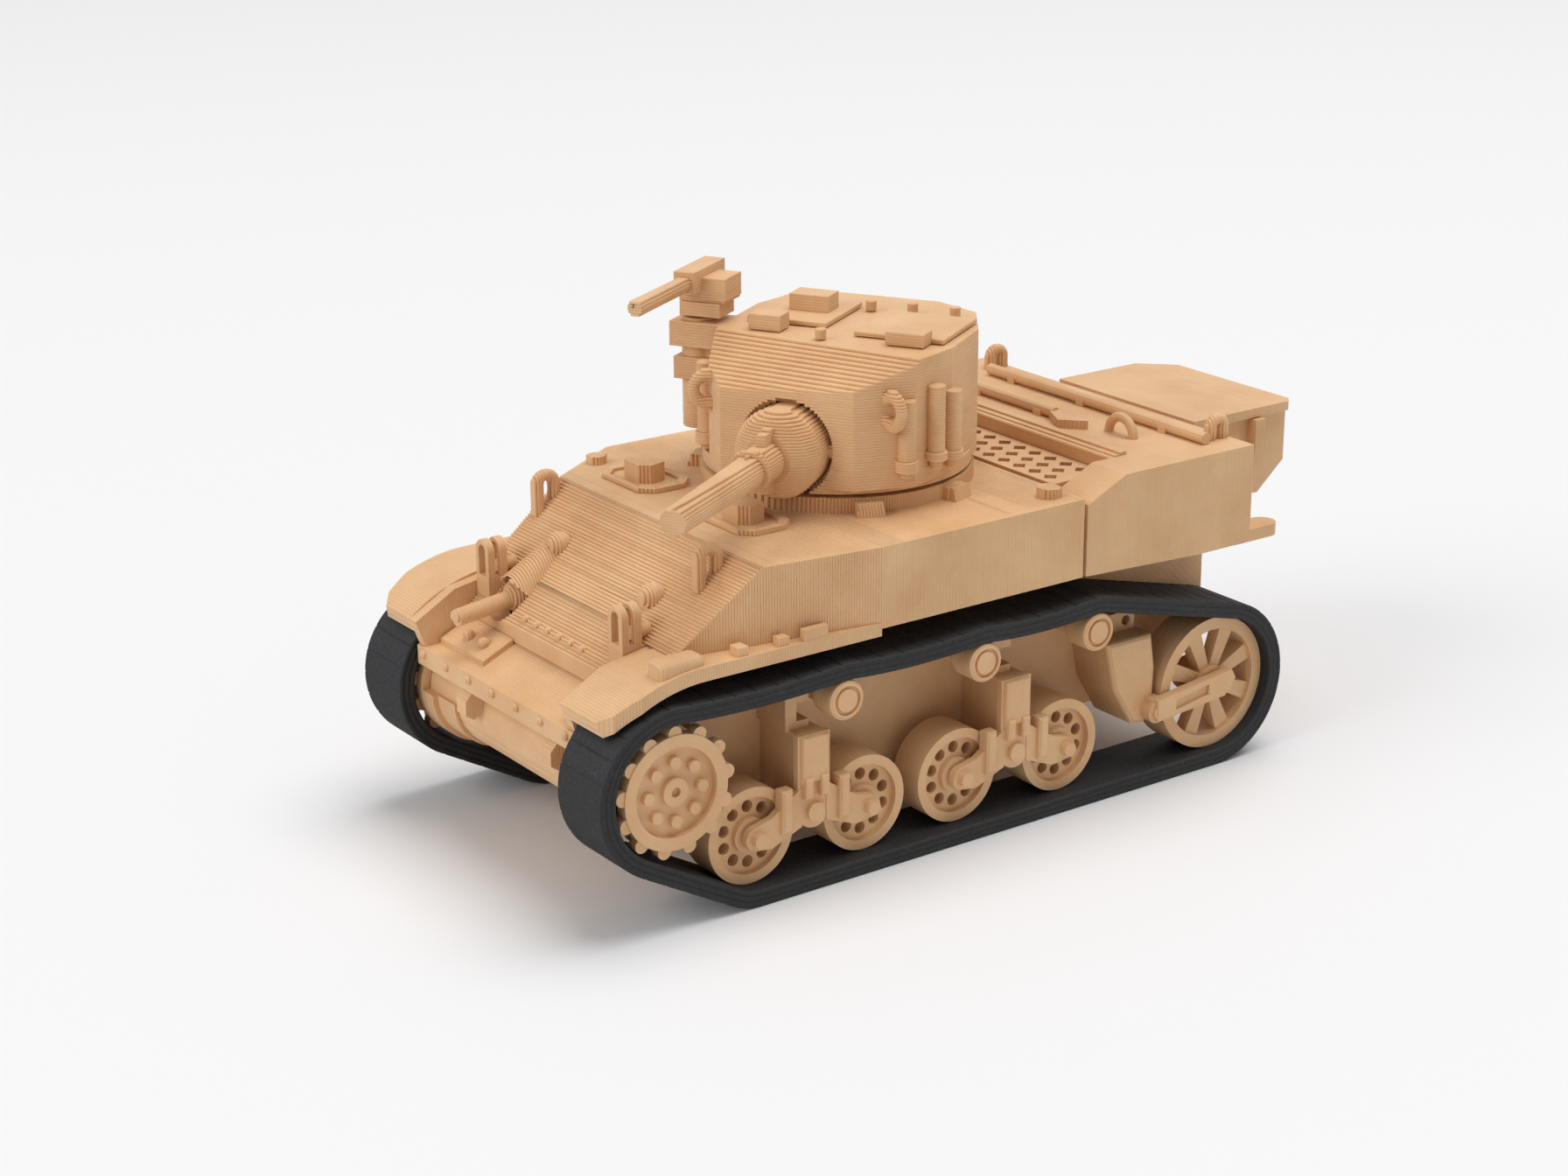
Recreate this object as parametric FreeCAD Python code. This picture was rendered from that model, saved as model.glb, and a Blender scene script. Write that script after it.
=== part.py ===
import FreeCAD, Part
import math
import os
from FreeCAD import Vector

# A small radio-controlled model of a light tank, layer-printed, with its drive inside.
# Forward is -Y, the tank's left side is +X and up is +Z.
# All sizes are millimetres and degrees, and the Y sizes are counted from the turret's turning axis.

# Widths
hull_half_width = 15.2
tub_half_width = hull_half_width - 4.9
tub_wall = 1.1

# Clearances
running_gap = 0.05
side_gap = 0.15
seat_gap = 0.1

# Tracks
belt_thickness = 1.2
belt_outer_x = hull_half_width + 0.4
belt_width = belt_outer_x - tub_half_width - 0.1
belt_sag = 0.3

# Wheels
road_wheel_radius = 3.4
road_wheel_width = 2.75
road_wheel_y = (-17.7, -8.4, -0.35, 8.95)
wheel_face_x = belt_outer_x - 1.25
hub_cap_x = belt_outer_x
axle_radius = 0.5
roller_radius = 1.4
roller_width = 2.2
roller_y = (-10.7, 1.1, 11.3)
roller_top_z = 14.35
roller_pin_radius = 0.5
idler_radius = 5.0
idler_width = 2.8
idler_y = 23.2
idler_face_x = belt_outer_x - 0.9
idler_spokes = 8

# Sprockets
sprocket_y = -24.15
sprocket_z = 9.7
sprocket_tip_radius = 4.55
sprocket_root_radius = 3.95
sprocket_face_x = belt_outer_x - 0.2
sprocket_teeth = 13
sprocket_plate = 0.9
shaft_radius = 0.75

# Gears of the drive
gear_module = 0.25
gear_teeth = 20
pinion_teeth = 8
gear_width = 1.0
pinion_width = 1.2
gear_backlash = 0.06
motor_radius = 2.0
motor_length = 6.4
motor_shaft_radius = 0.4

# Lower hull
belly_z = 5.2
tub_front_y = -22.9
tub_rear_y = 26.0
tub_step_y = -19.4
nose_top_z = 14.5

# Upper hull
sponson_z = 17.2
roof_z = 22.9
hull_wall = 1.2
glacis_top_y = -16.3
glacis_angle = 40.3
glacis_end_y = -24.85
left_shoulder_y = -7.6
left_corner_x = hull_half_width - 1.3
right_shoulder_y = -9.65
right_corner_x = 4.3 - hull_half_width
hull_front_half_width = tub_half_width - 0.95
hull_rear_y = 10.0
rear_gap = 0.25

# Fenders
fender_top_z = 17.65
fender_thickness = 0.95
fender_front_y = -29.1
fender_front_z = 15.1
fender_bend_y = -21.6
fender_corner = 1.6

# Nose
nose_radius = 3.6
nose_wall = 0.8
flange_front_y = -28.6
flange_bottom_z = 11.8
flange_top_z = 13.2
drum_radius = 4.2
drum_inner_x = tub_half_width - 3.9
nose_bolts = 7
bolt_radius = 0.32

# Rear of the hull
deck_z = 24.0
deck_front_y = 13.7
deck_rear_y = 25.9
deck_bottom_z = 16.7
grille_half_width = hull_half_width - 3.6
grille_rear_y = 15.4
grille_z = 23.0
box_front_y = 27.7
box_rear_y = 37.1
box_half_width = 7.15
box_top_z = 23.7
lid_thickness = 0.7
lid_lip = 0.45

# Turret
turret_turned = 31.0
ring_radius = 9.6
ring_top_z = 24.0
turret_radius = 9.5
turret_base_height = 1.1
turret_roof_z = 33.5
turret_wall = 1.1
turret_floor = 0.9
turret_front_y = -9.1
turret_left_side = ((4.9, turret_front_y), (8.3, -6.3), (9.3, -2.0), (9.2, 3.5), (7.4, 8.0), (3.9, 10.0))
turret_right_side = ((-3.9, 10.0), (-6.9, 8.7), (-8.1, 4.6), (-8.0, -2.6), (-6.9, -6.6), (-4.9, turret_front_y))
roof_slope_y = -4.2
roof_slope_angle = 25.0
roof_slope_skew = -8.7
spigot_radius = 5.5
spigot_depth = 3.0

# Held inside the hull
battery_size = (14.0, 20.0, 5.0)
battery_y = -2.0
board_width = 2 * (tub_half_width - tub_wall - seat_gap)
board_length = 16.0
board_thickness = 0.8
board_z = 12.6
board_y = -2.0
board_ledges = (-7.5, 3.5)
switch_y = 15.0
switch_slot_half = 0.9
switch_slot_length = 4.4
screw_x = 7.6
screw_y = (12.0, 21.5)
screw_radius = 0.5
screw_head_radius = 1.0
screw_head_height = 0.8
screw_post_radius = 1.3
deck_screw_z = 16.6

# Bow gun
bow_gun_x = -5.9
bow_gun_y = -22.7
bow_gun_z = 16.8
bow_ball_radius = 1.25
bow_barrel_radius = 0.62

# Main gun
gun_z = 27.2
trunnion_y = -8.4
mantlet_radius = 3.0
mantlet_front_y = -12.3
mantlet_lip = 0.1
mantlet_swing_gap = 0.4
sleeve_radius = 1.28
sleeve_end_y = -15.2
barrel_radius = 0.92
muzzle_y = -27.0
trunnion_radius = 0.5
breech_radius = 0.9
breech_length = 3.9

# Roof gun
post_x = -10.2
post_y = -0.9
post_radius = 1.25
post_top_z = 33.6
pintle_radius = 0.45
receiver_top_z = 37.2

belt_inner_x = belt_outer_x - belt_width
road_wheel_z = belt_thickness + running_gap + road_wheel_radius
idler_z = belt_thickness + running_gap + idler_radius
roller_z = roller_top_z - roller_radius
floor_z = belly_z + tub_wall
gear_centres = gear_module * (gear_teeth + pinion_teeth) / 2
motor_y = sprocket_y + gear_centres
gear_x = tub_half_width - tub_wall - side_gap - gear_width
motor_x = gear_x - 0.5 - motor_length
glacis_fall = math.tan(math.radians(glacis_angle))
glacis_end_z = roof_z - (glacis_top_y - glacis_end_y) * glacis_fall
track_front_y = sprocket_y - sprocket_tip_radius - side_gap - belt_thickness
origin_y = -(track_front_y + box_rear_y + lid_lip) / 2


def box(x0, x1, y0, y1, z0, z1):
    return Part.makeBox(x1 - x0, y1 - y0, z1 - z0, Vector(x0, y0, z0))


def rod_x(radius, x0, x1, y, z):
    return Part.makeCylinder(radius, x1 - x0, Vector(x0, y, z), Vector(1, 0, 0))


def rod_y(radius, y0, y1, x, z):
    return Part.makeCylinder(radius, y1 - y0, Vector(x, y0, z), Vector(0, 1, 0))


def rod_z(radius, z0, z1, x, y):
    return Part.makeCylinder(radius, z1 - z0, Vector(x, y, z0), Vector(0, 0, 1))


def plate_yz(points, x0, x1):
    """A flat outline in the side view, given depth along X."""
    corners = [Vector(x0, y, z) for y, z in points]
    return Part.Face(Part.makePolygon(corners + corners[:1])).extrude(Vector(x1 - x0, 0, 0))


def plate_xy(points, z0, z1):
    """A flat outline in the plan view, given height along Z."""
    corners = [Vector(x, y, z0) for x, y in points]
    return Part.Face(Part.makePolygon(corners + corners[:1])).extrude(Vector(0, 0, z1 - z0))


def plate_xz(points, y0, y1):
    """A flat outline in the front view, given depth along Y."""
    corners = [Vector(x, y0, z) for x, z in points]
    return Part.Face(Part.makePolygon(corners + corners[:1])).extrude(Vector(0, y1 - y0, 0))


def joined(shapes):
    first, rest = shapes[0], shapes[1:]
    return first.multiFuse(rest).removeSplitter() if rest else first


def mirrored(shape):
    return shape.mirror(Vector(0, 0, 0), Vector(1, 0, 0))


def turned(shape, centre, axis, angle):
    copy = shape.copy()
    copy.rotate(centre, axis, angle)
    return copy


def round_edges(shape, radius, chosen):
    edges = [edge for edge in shape.Edges if chosen(edge)]
    return shape.makeFillet(radius, edges) if edges else shape


def along(edge, direction):
    """True where a straight edge runs along the direction."""
    if not isinstance(edge.Curve, (Part.Line, Part.LineSegment)):
        return False
    run = edge.Vertexes[-1].Point.sub(edge.Vertexes[0].Point)
    return abs(run.normalize().dot(direction)) > 0.999


def wire_hoop(width, height, thickness, x, y, z, depth):
    """An upright hoop with a round top, lying in the plan across X."""
    crown_z = z + height - width / 2
    eye_half = width / 2 - thickness
    outer = box(x - width / 2, x + width / 2, y, y + depth, z, crown_z)
    crown = rod_y(width / 2, y, y + depth, x, crown_z)
    eye = box(x - eye_half, x + eye_half, y, y + depth, z, crown_z)
    eye_top = rod_y(eye_half, y, y + depth, x, crown_z)
    return outer.fuse(crown).cut(eye).cut(eye_top).removeSplitter()


# Tracks: a belt laid round the wheels of one side
def tangent(start, end):
    """The points where a straight belt run leaves one wheel and meets the next one."""
    (y0, z0, r0), (y1, z1, r1) = start, end
    length = math.hypot(y1 - y0, z1 - z0)
    along_y, along_z = (y1 - y0) / length, (z1 - z0) / length
    lean = (r0 - r1) / length
    out = math.sqrt(1 - lean * lean)
    normal_y = -along_z * out + along_y * lean
    normal_z = along_y * out + along_z * lean
    return (y0 + r0 * normal_y, z0 + r0 * normal_z), (y1 + r1 * normal_y, z1 + r1 * normal_z)


def belt_face(grow):
    """The area inside the belt's inner side, or its outer side where grow is its thickness."""
    sprocket = (sprocket_y, sprocket_z, sprocket_tip_radius + side_gap + grow)
    first_wheel = (road_wheel_y[0], road_wheel_z, road_wheel_radius + running_gap + grow)
    idler = (idler_y, idler_z, idler_radius + running_gap + grow)
    last_roller = (roller_y[-1], roller_z, roller_radius + running_gap + grow)
    top_z = roller_top_z + running_gap + grow
    at = lambda point: Vector(belt_inner_x, point[0], point[1])
    edges = []
    tops = [(sprocket_y, sprocket_z + sprocket[2])] + [(y, top_z) for y in roller_y]
    for left, right in zip(tops[:-1], tops[1:]):
        middle = ((left[0] + right[0]) / 2, (left[1] + right[1]) / 2 - belt_sag)
        edges.append(Part.Arc(at(left), at(middle), at(right)).toShape())
    leave, meet = tangent(last_roller, idler)
    lean = math.atan2(leave[1] - last_roller[1], leave[0] - last_roller[0])
    halfway = (lean + math.pi / 2) / 2
    crest = (last_roller[0] + last_roller[2] * math.cos(halfway), last_roller[1] + last_roller[2] * math.sin(halfway))
    edges.append(Part.Arc(at(tops[-1]), at(crest), at(leave)).toShape())
    edges.append(Part.LineSegment(at(leave), at(meet)).toShape())
    bottom = (idler_y, idler_z - idler[2])
    back = (idler_y + idler[2], idler_z)
    edges.append(Part.Arc(at(meet), at(back), at(bottom)).toShape())
    ground = (road_wheel_y[0], road_wheel_z - first_wheel[2])
    edges.append(Part.LineSegment(at(bottom), at(ground)).toShape())
    rise, climb = tangent(first_wheel, sprocket)
    lean = (math.atan2(rise[1] - first_wheel[1], rise[0] - first_wheel[0]) % (2 * math.pi) + 1.5 * math.pi) / 2
    heel = (first_wheel[0] + first_wheel[2] * math.cos(lean), first_wheel[1] + first_wheel[2] * math.sin(lean))
    edges.append(Part.Arc(at(ground), at(heel), at(rise)).toShape())
    edges.append(Part.LineSegment(at(rise), at(climb)).toShape())
    front = (sprocket_y - sprocket[2], sprocket_z)
    edges.append(Part.Arc(at(climb), at(front), at(tops[0])).toShape())
    return Part.Face(Part.Wire(edges))


def make_track():
    outline = belt_face(belt_thickness).cut(belt_face(0))
    return outline.extrude(Vector(belt_width, 0, 0))


# Wheels
def make_road_wheel(y):
    """A dished disc with a solid tyre ring, oval holes round the web and a bored hub."""
    inner_x = wheel_face_x - road_wheel_width
    wheel = rod_x(road_wheel_radius, inner_x, wheel_face_x, 0, 0)
    dish_outer = road_wheel_radius * 0.8
    dish = rod_x(dish_outer, wheel_face_x - 0.45, wheel_face_x + 1, 0, 0)
    back_dish = rod_x(dish_outer, inner_x - 1, inner_x + 1.2, 0, 0)
    hub = rod_x(1.25, inner_x, wheel_face_x - 0.05, 0, 0)
    wheel = wheel.cut(dish).cut(back_dish).fuse(hub)
    holes = []
    for count in range(10):
        hole = rod_x(0.43, inner_x - 1, wheel_face_x + 1, 0, 1.98)
        holes.append(turned(hole, Vector(0, 0, 0), Vector(1, 0, 0), 36 * count))
    bore = rod_x(axle_radius + running_gap, inner_x - 1, wheel_face_x + 1, 0, 0)
    wheel = wheel.cut(Part.makeCompound(holes)).cut(bore).removeSplitter()
    wheel.translate(Vector(0, y, road_wheel_z))
    return wheel


def make_roller(y):
    inner_x = hub_cap_x - roller_width
    roller = rod_x(roller_radius, inner_x, hub_cap_x, y, roller_z)
    roller = round_edges(roller, 0.25, lambda edge: isinstance(edge.Curve, Part.Circle))
    groove = rod_x(1.05, hub_cap_x - 0.2, hub_cap_x + 1, y, roller_z)
    groove = groove.cut(rod_x(0.8, hub_cap_x - 1, hub_cap_x + 1, y, roller_z))
    bore = rod_x(roller_pin_radius + running_gap, inner_x - 1, hub_cap_x - 0.5, y, roller_z)
    return roller.cut(groove).cut(bore).removeSplitter()


def make_idler():
    """An open wheel with a deep rim and tapered spokes."""
    inner_x = idler_face_x - idler_width
    rim = rod_x(idler_radius, inner_x, idler_face_x, 0, 0).cut(rod_x(4.1, inner_x - 1, idler_face_x + 1, 0, 0))
    hub = rod_x(1.3, inner_x, idler_face_x, 0, 0)
    spokes = []
    for count in range(idler_spokes):
        spoke = plate_yz([(-0.4, 1.0), (0.4, 1.0), (0.68, 4.4), (-0.68, 4.4)], idler_face_x - 1.3, idler_face_x - 0.3)
        spokes.append(turned(spoke, Vector(0, 0, 0), Vector(1, 0, 0), 360 * (count + 0.5) / idler_spokes))
    bore = rod_x(axle_radius + running_gap, inner_x - 1, idler_face_x + 1, 0, 0)
    idler = joined([rim, hub] + spokes).cut(bore)
    idler.translate(Vector(0, idler_y, idler_z))
    return idler


def make_sprocket():
    """Two toothed plates on a drum, with the stub shaft that reaches the drive gear."""
    step = 360 / sprocket_teeth
    drum_x = belt_inner_x + 0.9
    blank = rod_x(sprocket_root_radius, sprocket_face_x - sprocket_plate, sprocket_face_x, 0, 0)
    teeth = []
    tooth_reach = sprocket_tip_radius - 0.5
    for count in range(sprocket_teeth):
        tooth = rod_x(0.5, sprocket_face_x - sprocket_plate, sprocket_face_x - 0.1, 0, tooth_reach)
        foot = plate_yz([(-0.5, 3.4), (0.5, 3.4), (0.5, tooth_reach), (-0.5, tooth_reach)],
                        sprocket_face_x - sprocket_plate, sprocket_face_x - 0.1)
        teeth.append(turned(tooth.fuse(foot), Vector(0, 0, 0), Vector(1, 0, 0), step * count))
    recess = rod_x(3.1, sprocket_face_x - 0.5, sprocket_face_x + 1, 0, 0)
    studs = [turned(rod_x(0.4, sprocket_face_x - 0.6, sprocket_face_x - 0.05, 0, 2.05),
                    Vector(0, 0, 0), Vector(1, 0, 0), 45 * count) for count in range(8)]
    boss = rod_x(0.95, sprocket_face_x - 0.6, sprocket_face_x - 0.1, 0, 0)
    dimple = rod_x(0.35, sprocket_face_x - 0.4, sprocket_face_x + 1, 0, 0)
    drum = rod_x(3.2, drum_x, sprocket_face_x - sprocket_plate, 0, 0)
    inner_plate = joined([blank] + teeth).copy()
    inner_plate.translate(Vector(drum_x - sprocket_face_x + sprocket_plate, 0, 0))
    outer_plate = joined([blank] + teeth).cut(recess)
    shaft = rod_x(shaft_radius, gear_x - 0.4, drum_x + 0.5, 0, 0)
    sprocket = joined([outer_plate, inner_plate, drum, shaft, boss] + studs).cut(dimple)
    sprocket.translate(Vector(0, sprocket_y, sprocket_z))
    return sprocket


# Gears
def involute_gear(teeth, width, x0, bore, phase):
    """A spur gear on the X axis with involute flanks, thinned for backlash."""
    pitch = gear_module * teeth / 2
    base = pitch * math.cos(math.radians(20))
    tip = pitch + gear_module
    root = pitch - 1.25 * gear_module
    spread = lambda radius: math.sqrt(max((radius / base) ** 2 - 1, 0)) - math.atan(
        math.sqrt(max((radius / base) ** 2 - 1, 0)))
    half_tooth = math.pi / (2 * teeth) - gear_backlash / (2 * pitch) + spread(pitch)
    radii = [root, max(base, root + 0.01), pitch, tip]
    half_angles = [half_tooth] + [half_tooth - spread(radius) for radius in radii[1:]]
    corners = []
    for count in range(teeth):
        middle = 2 * math.pi * count / teeth + math.radians(phase)
        flank = list(zip(radii, half_angles))
        for radius, half in flank:
            corners.append((radius * math.sin(middle - half), radius * math.cos(middle - half)))
        for radius, half in reversed(flank):
            corners.append((radius * math.sin(middle + half), radius * math.cos(middle + half)))
    gear = plate_yz(corners, x0, x0 + width)
    return gear.cut(rod_x(bore, x0 - 1, x0 + width + 1, 0, 0)) if bore else gear


def make_drive_gear():
    gear = involute_gear(gear_teeth, gear_width, gear_x, shaft_radius, -90)
    gear.translate(Vector(0, sprocket_y, sprocket_z))
    return gear


def make_motor_pinion():
    """The pinion on its motor's shaft, with a tooth gap facing the drive gear."""
    pinion = involute_gear(pinion_teeth, pinion_width, gear_x - 0.1, 0, 90 + 180 / pinion_teeth)
    shaft = rod_x(motor_shaft_radius, motor_x + motor_length - 1, gear_x - 0.1 + pinion_width, 0, 0)
    pinion = pinion.fuse(shaft).removeSplitter()
    pinion.translate(Vector(0, motor_y, sprocket_z))
    return pinion


def make_drive_motor():
    """A round can motor with a nose boss at its shaft end and a moulded end cap."""
    body = rod_x(motor_radius, motor_x, motor_x + motor_length - 0.6, motor_y, sprocket_z)
    cap = rod_x(motor_radius - 0.2, motor_x, motor_x + motor_length - 0.2, motor_y, sprocket_z)
    nose = rod_x(0.75, motor_x, motor_x + motor_length, motor_y, sprocket_z)
    bore = rod_x(motor_shaft_radius + running_gap, motor_x + motor_length - 1.2, motor_x + motor_length + 1,
                 motor_y, sprocket_z)
    return joined([body, cap, nose]).cut(bore)


# Hull
def make_lower_hull():
    """The open tub with the return rollers' pins, the motor cradles, board ledges and screw posts."""
    side = [(tub_front_y, belly_z), (22.0, belly_z), (tub_rear_y, 9.0), (tub_rear_y, sponson_z),
            (tub_step_y, sponson_z), (tub_step_y, nose_top_z), (tub_front_y, nose_top_z)]
    inside = [(tub_front_y - 1, floor_z), (22.0 - tub_wall * 0.4, floor_z),
              (tub_rear_y - tub_wall, 9.0 + tub_wall * 0.6), (tub_rear_y - tub_wall, sponson_z + 1),
              (tub_front_y - 1, sponson_z + 1)]
    tub = plate_yz(side, -tub_half_width, tub_half_width)
    inner_half = tub_half_width - tub_wall
    tub = tub.cut(plate_yz(inside, -inner_half, inner_half))
    cradle_top = sprocket_z - motor_radius
    cradle = box(motor_x + 0.6, motor_x + 5.0, motor_y - 1.5, motor_y + 1.5, floor_z, cradle_top + 0.6)
    cradle = cradle.cut(rod_x(motor_radius, 0, motor_x + motor_length, motor_y, sprocket_z))
    pieces = [tub, cradle, mirrored(cradle)]
    for side_x in (-1, 1):
        for y in board_ledges:
            ledge = box(inner_half - 1.6, inner_half, y - 0.7, y + 0.7, floor_z, board_z)
            pieces.append(ledge if side_x > 0 else mirrored(ledge))
        for y in screw_y:
            post = rod_z(screw_post_radius, floor_z, deck_screw_z, side_x * screw_x, y)
            pieces.append(post)
    pins = make_roller_pins()
    tub = joined(pieces + pins + [mirrored(pin) for pin in pins])
    cuts = [box(-switch_slot_half, switch_slot_half, switch_y - switch_slot_length / 2,
                switch_y + switch_slot_length / 2, belly_z - 1, floor_z + 1)]
    for side_x in (-1, 1):
        for y in screw_y:
            cuts.append(rod_z(screw_radius + running_gap, belly_z - 1, deck_screw_z + 1, side_x * screw_x, y))
            cuts.append(rod_z(screw_head_radius + running_gap, belly_z - 1, belly_z + screw_head_height,
                              side_x * screw_x, y))
    return tub.cut(Part.makeCompound(cuts))


# Inside the hull
def make_battery():
    """A flat soft-pack cell with rounded long edges."""
    width, length, height = battery_size
    cell = box(-width / 2, width / 2, battery_y - length / 2, battery_y + length / 2, floor_z, floor_z + height)
    return round_edges(cell, 1.0, lambda edge: along(edge, Vector(0, 1, 0)))


def make_receiver_board():
    """The circuit board with its driver chips, resting on four ledges."""
    top = board_z + board_thickness
    front_y = board_y - board_length / 2
    board = box(-board_width / 2, board_width / 2, front_y, front_y + board_length, board_z, top)
    chip = box(-2.5, 2.5, board_y - 4.5, board_y + 0.5, top, top + 1.0)
    drivers = [box(x - 1.2, x + 1.2, board_y + 2.5, board_y + 5.5, top, top + 0.8) for x in (-4.5, 4.5)]
    plug = box(-2.0, 2.0, board_y + 5.2, board_y + 7.6, top, top + 1.6)
    return joined([board, chip, plug] + drivers)


def make_power_switch():
    """The slide switch's case on the belly floor, with a guide slot for its lever."""
    case = box(-2.4, 2.4, switch_y - 3.4, switch_y + 3.4, floor_z, floor_z + 2.6)
    hollow = box(-1.3, 1.3, switch_y - 2.6, switch_y + 2.6, floor_z - 1, floor_z + 1.8)
    return case.cut(hollow)


def make_switch_lever():
    """The sliding lever, reached through the slot in the belly."""
    carrier = box(-1.1, 1.1, switch_y - 2.3, switch_y + 0.7, floor_z + seat_gap, floor_z + 1.5)
    stem = box(-0.75, 0.75, switch_y - 1.9, switch_y - 0.1, belly_z - 0.5, floor_z + 0.5)
    return carrier.fuse(stem).removeSplitter()


def make_hull_screws():
    """Four screws that run up through the tub's posts into the engine deck."""
    screws = []
    for side_x in (-1, 1):
        for y in screw_y:
            shank = rod_z(screw_radius, belly_z + 0.2, deck_screw_z + 1.6, side_x * screw_x, y)
            head = rod_z(screw_head_radius, belly_z, belly_z + screw_head_height, side_x * screw_x, y)
            recess = box(side_x * screw_x - 0.7, side_x * screw_x + 0.7, y - 0.15, y + 0.15, belly_z - 1, belly_z + 0.3)
            screws.append(shank.fuse(head).cut(recess))
    return Part.makeCompound(screws)


def hull_plan(inset):
    """The upper hull's plan: a slow taper at the left shoulder and a short one at the right."""
    front_y = glacis_end_y - 2
    left_front_x = left_corner_x - (left_corner_x - 13.0) * (glacis_top_y - front_y) / 4.7
    points = [(hull_half_width, hull_rear_y), (hull_half_width, left_shoulder_y), (left_corner_x, glacis_top_y),
              (left_front_x, front_y), (right_corner_x, front_y), (right_corner_x, glacis_top_y),
              (-hull_half_width, right_shoulder_y), (-hull_half_width, hull_rear_y)]
    face = Part.Face(Part.makePolygon([Vector(x, y, 0) for x, y in points + points[:1]]))
    return face.makeOffset2D(-inset, 2) if inset else face


def glacis_wedge(inset):
    """The space under the sloping front plate and the roof, as deep as the hull is wide."""
    drop = inset / math.cos(math.radians(glacis_angle))
    top = roof_z - inset
    end_y = glacis_end_y + inset
    end_z = roof_z - (glacis_top_y - end_y) * glacis_fall - drop
    corner_y = glacis_top_y + (drop - inset) / glacis_fall
    points = [(end_y, nose_top_z - 1), (end_y, end_z), (corner_y, top), (hull_rear_y, top),
              (hull_rear_y, nose_top_z - 1)]
    return plate_yz(points, -hull_half_width - 1, hull_half_width + 1)


def make_upper_hull():
    """The hull top: a thin shell with the sloping glacis, the roof and the sponson floors."""
    tall = roof_z - nose_top_z + 2
    body = hull_plan(0).extrude(Vector(0, 0, tall))
    body.translate(Vector(0, 0, nose_top_z))
    shell = body.common(glacis_wedge(0))
    hollow = hull_plan(hull_wall).extrude(Vector(0, 0, tall))
    hollow.translate(Vector(0, 0, sponson_z + hull_wall))
    hollow = hollow.common(glacis_wedge(hull_wall))
    inner_half = tub_half_width - tub_wall
    well = box(-inner_half, inner_half, glacis_end_y, hull_rear_y - hull_wall, nose_top_z - 1, roof_z)
    well = well.common(glacis_wedge(hull_wall))
    shell = shell.cut(hollow).cut(well)
    cuts = []
    cuts.append(box(tub_half_width, 20, left_shoulder_y, 20, nose_top_z - 1, sponson_z))
    cuts.append(box(-20, -tub_half_width, left_shoulder_y, 20, nose_top_z - 1, sponson_z))
    cuts.append(box(-tub_half_width, tub_half_width, tub_step_y, 20, nose_top_z - 1, sponson_z))
    for inner_x, rear_y in ((hull_front_half_width, fender_bend_y), (tub_half_width, left_shoulder_y)):
        guard_room = box(inner_x, 20, glacis_end_y - 3, rear_y, nose_top_z - 1, fender_top_z)
        cuts += [guard_room, mirrored(guard_room)]
    cuts.append(rod_z(spigot_radius + seat_gap, roof_z - 3, ring_top_z + 3, 0, 0))
    ring = rod_z(ring_radius, roof_z - 0.5, ring_top_z, 0, 0)
    blocks = []
    for angle in (-24, 18, 140, 220):
        block = plate_xz([(ring_radius - 0.6, roof_z - 0.2), (ring_radius + 1.2, roof_z - 0.2),
                          (ring_radius + 0.9, roof_z + 0.9), (ring_radius - 0.6, roof_z + 0.9)], -0.9, 0.9)
        blocks.append(turned(block, Vector(0, 0, 0), Vector(0, 0, 1), angle))
    pads = [rod_z(0.85, roof_z - 0.2, roof_z + 0.7, 13.2, 8.4), rod_z(0.7, roof_z - 0.2, roof_z + 0.6, -12.2, -12.4)]
    domes = [Part.makeSphere(0.95, Vector(x, y, roof_z - (glacis_top_y - y) * glacis_fall)) for x, y in
             ((-5.5, -19.8), (6.7, -20.1))]
    strip_y, strip_x = -24.2, [-2.8 + 1.45 * count for count in range(6)]
    strip_z = roof_z - (glacis_top_y - strip_y) * glacis_fall
    domes += [Part.makeSphere(0.3, Vector(x, strip_y, strip_z)) for x in strip_x]
    slope_up = Vector(0, math.cos(math.radians(glacis_angle)), math.sin(math.radians(glacis_angle)))
    collar = Part.makeCone(1.8, 1.0, 4.6, Vector(bow_gun_x, bow_gun_y, bow_gun_z), slope_up)
    socket = Part.makeSphere(bow_ball_radius + seat_gap, Vector(bow_gun_x, bow_gun_y, bow_gun_z))
    shell = joined([shell, ring, collar] + blocks + pads + domes)
    for cut in cuts:
        shell = shell.cut(cut)
    notch = rod_y(1.45, glacis_end_y - 1, bow_gun_y, bow_gun_x, bow_gun_z)
    return shell.cut(socket).cut(notch)


def make_bow_gun():
    """The hull gun: a ball in its collar with a short barrel that points forward and down a little."""
    ball = Part.makeSphere(bow_ball_radius, Vector(bow_gun_x, bow_gun_y, bow_gun_z))
    barrel = rod_y(bow_barrel_radius, -28.0, bow_gun_y, bow_gun_x, bow_gun_z)
    barrel = round_edges(barrel, 0.2, lambda edge: edge.BoundBox.YMax < -27.9)
    return turned(ball.fuse(barrel).removeSplitter(), Vector(bow_gun_x, bow_gun_y, bow_gun_z), Vector(1, 0, 0), 7)


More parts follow.
